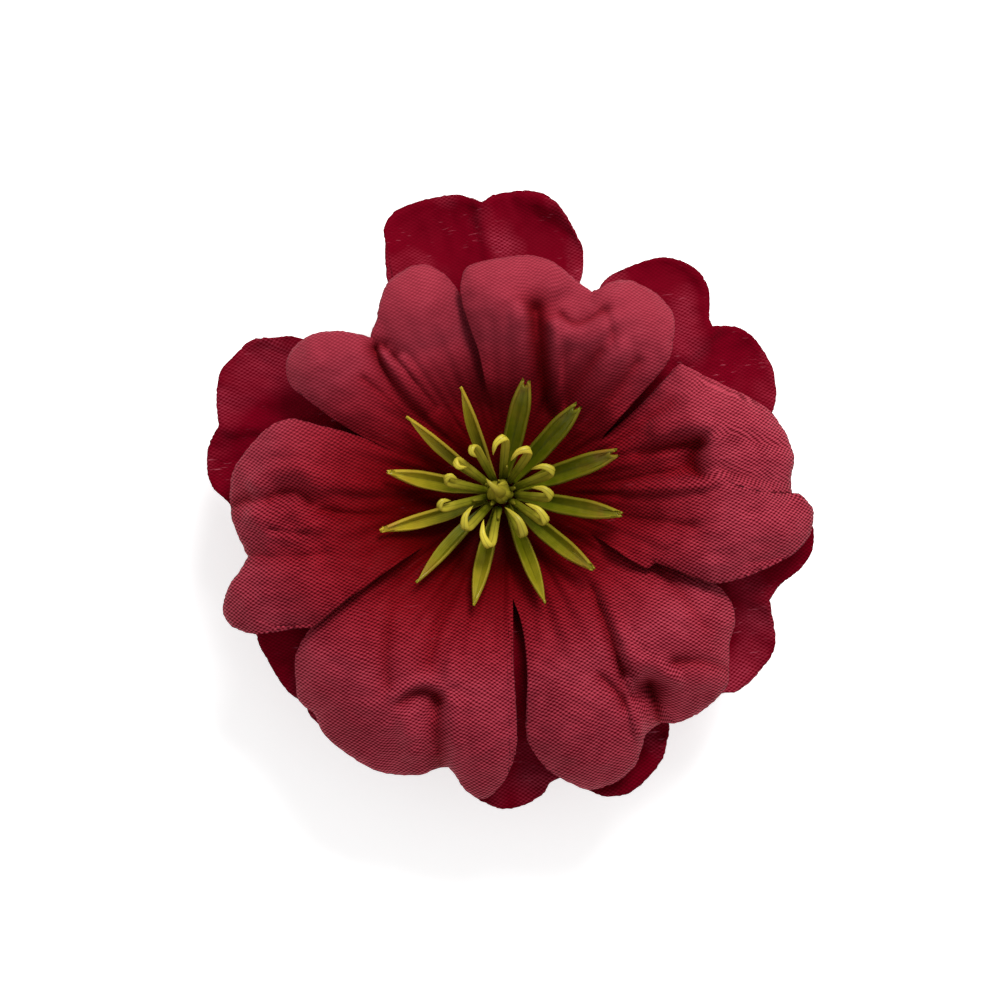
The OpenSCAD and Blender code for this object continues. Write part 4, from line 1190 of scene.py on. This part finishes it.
class FLOWERCLIP_OT_stage(Operator):
    """Builds the pale floor, the soft lights and the camera that looks straight down."""

    bl_idname = "flower_clip.stage"
    bl_label = "Stage"

    def execute(self, context):
        s = context.scene.flower_clip_stage
        # A studio sweep: flat, then its height is a quarter of the squared distance beyond the flat.
        g = np.linspace(-FLOOR_REACH, FLOOR_REACH, FLOOR_POINTS)
        x, y = np.meshgrid(g, g, indexing="xy")
        far = np.maximum(0, np.hypot(x, y) - FLOOR_FLAT)
        points = np.stack([x, y, 0.25 * far**2], -1).reshape(-1, 3) / MM
        floor = make_piece("floor", points, grid_faces(FLOOR_POINTS, FLOOR_POINTS))
        p = Paint("pale floor", Roughness=0.85, Emission_Strength=1.0)
        tone = p.noise(p.place(), 3.0, 2.0)
        east, north, _ = p.split(p.place())
        glow = p.map_range((east * east + north * north) ** 0.5, 0.12, 0.7, 0.48, 0.62)
        p.set(Base_Color=p.mix(tone, (0.9, 0.9, 0.9, 1), (0.93, 0.93, 0.93, 1)),
              Emission_Color=p.grey(glow))
        floor.data.materials.append(p.material)
        world = bpy.data.worlds.new("studio")
        world.use_nodes = True
        sky = world.node_tree.nodes["Background"]
        sky.inputs["Color"].default_value = (1, 1, 1, 1)
        sky.inputs["Strength"].default_value = 0.45
        context.scene.world = world
        area_light("key light", (0.16, 0.42, 0.52), 0.26, s.key)
        area_light("fill light", (0.1, 0.05, 0.9), 0.9, s.fill)
        data = bpy.data.cameras.new("camera")
        data.lens = 108
        data.sensor_width = 36
        camera = bpy.data.objects.new("camera", data)
        context.scene.collection.objects.link(camera)
        camera.location = (-0.00015, -0.00105, AIM[2] + s.height)
        context.scene.camera = camera
        context.scene.view_settings.view_transform = "Standard"
        return {"FINISHED"}


PIECE_OPERATORS = [
    FLOWERCLIP_OT_lower_petals, FLOWERCLIP_OT_upper_petals, FLOWERCLIP_OT_leaflets, FLOWERCLIP_OT_hooks,
    FLOWERCLIP_OT_bud, FLOWERCLIP_OT_backing, FLOWERCLIP_OT_spring, FLOWERCLIP_OT_clip, FLOWERCLIP_OT_stage,
]
SETTINGS = {
    "flower_clip_petals": FlowerSettings, "flower_clip_centre": CentreSettings,
    "flower_clip_back": BackSettings, "flower_clip_stage": StageSettings,
}


class FLOWERCLIP_PT_panel(Panel):
    """Lists the pieces of the flower clip."""

    bl_idname = "FLOWERCLIP_PT_panel"
    bl_label = "Flower Clip"
    bl_space_type = "VIEW_3D"
    bl_region_type = "UI"
    bl_category = "Flower Clip"

    def draw(self, context):
        for name, group in SETTINGS.items():
            settings = getattr(context.scene, name)
            for key in group.__annotations__:
                self.layout.prop(settings, key)
        for piece in PIECE_OPERATORS:
            self.layout.operator(piece.bl_idname)


def register():
    for group in SETTINGS.values():
        bpy.utils.register_class(group)
    for name, group in SETTINGS.items():
        setattr(bpy.types.Scene, name, PointerProperty(type=group))
    for piece in PIECE_OPERATORS + [FLOWERCLIP_PT_panel]:
        bpy.utils.register_class(piece)


def unregister():
    for piece in reversed(PIECE_OPERATORS + [FLOWERCLIP_PT_panel]):
        bpy.utils.unregister_class(piece)
    for name in SETTINGS:
        delattr(bpy.types.Scene, name)
    for group in SETTINGS.values():
        bpy.utils.unregister_class(group)


def main():
    register()
    for piece in PIECE_OPERATORS:
        group, name = piece.bl_idname.split(".")
        if getattr(getattr(bpy.ops, group), name)() != {"FINISHED"}:
            raise RuntimeError(f"{piece.bl_label} could not be built")


if __name__ == "__main__":
    main()
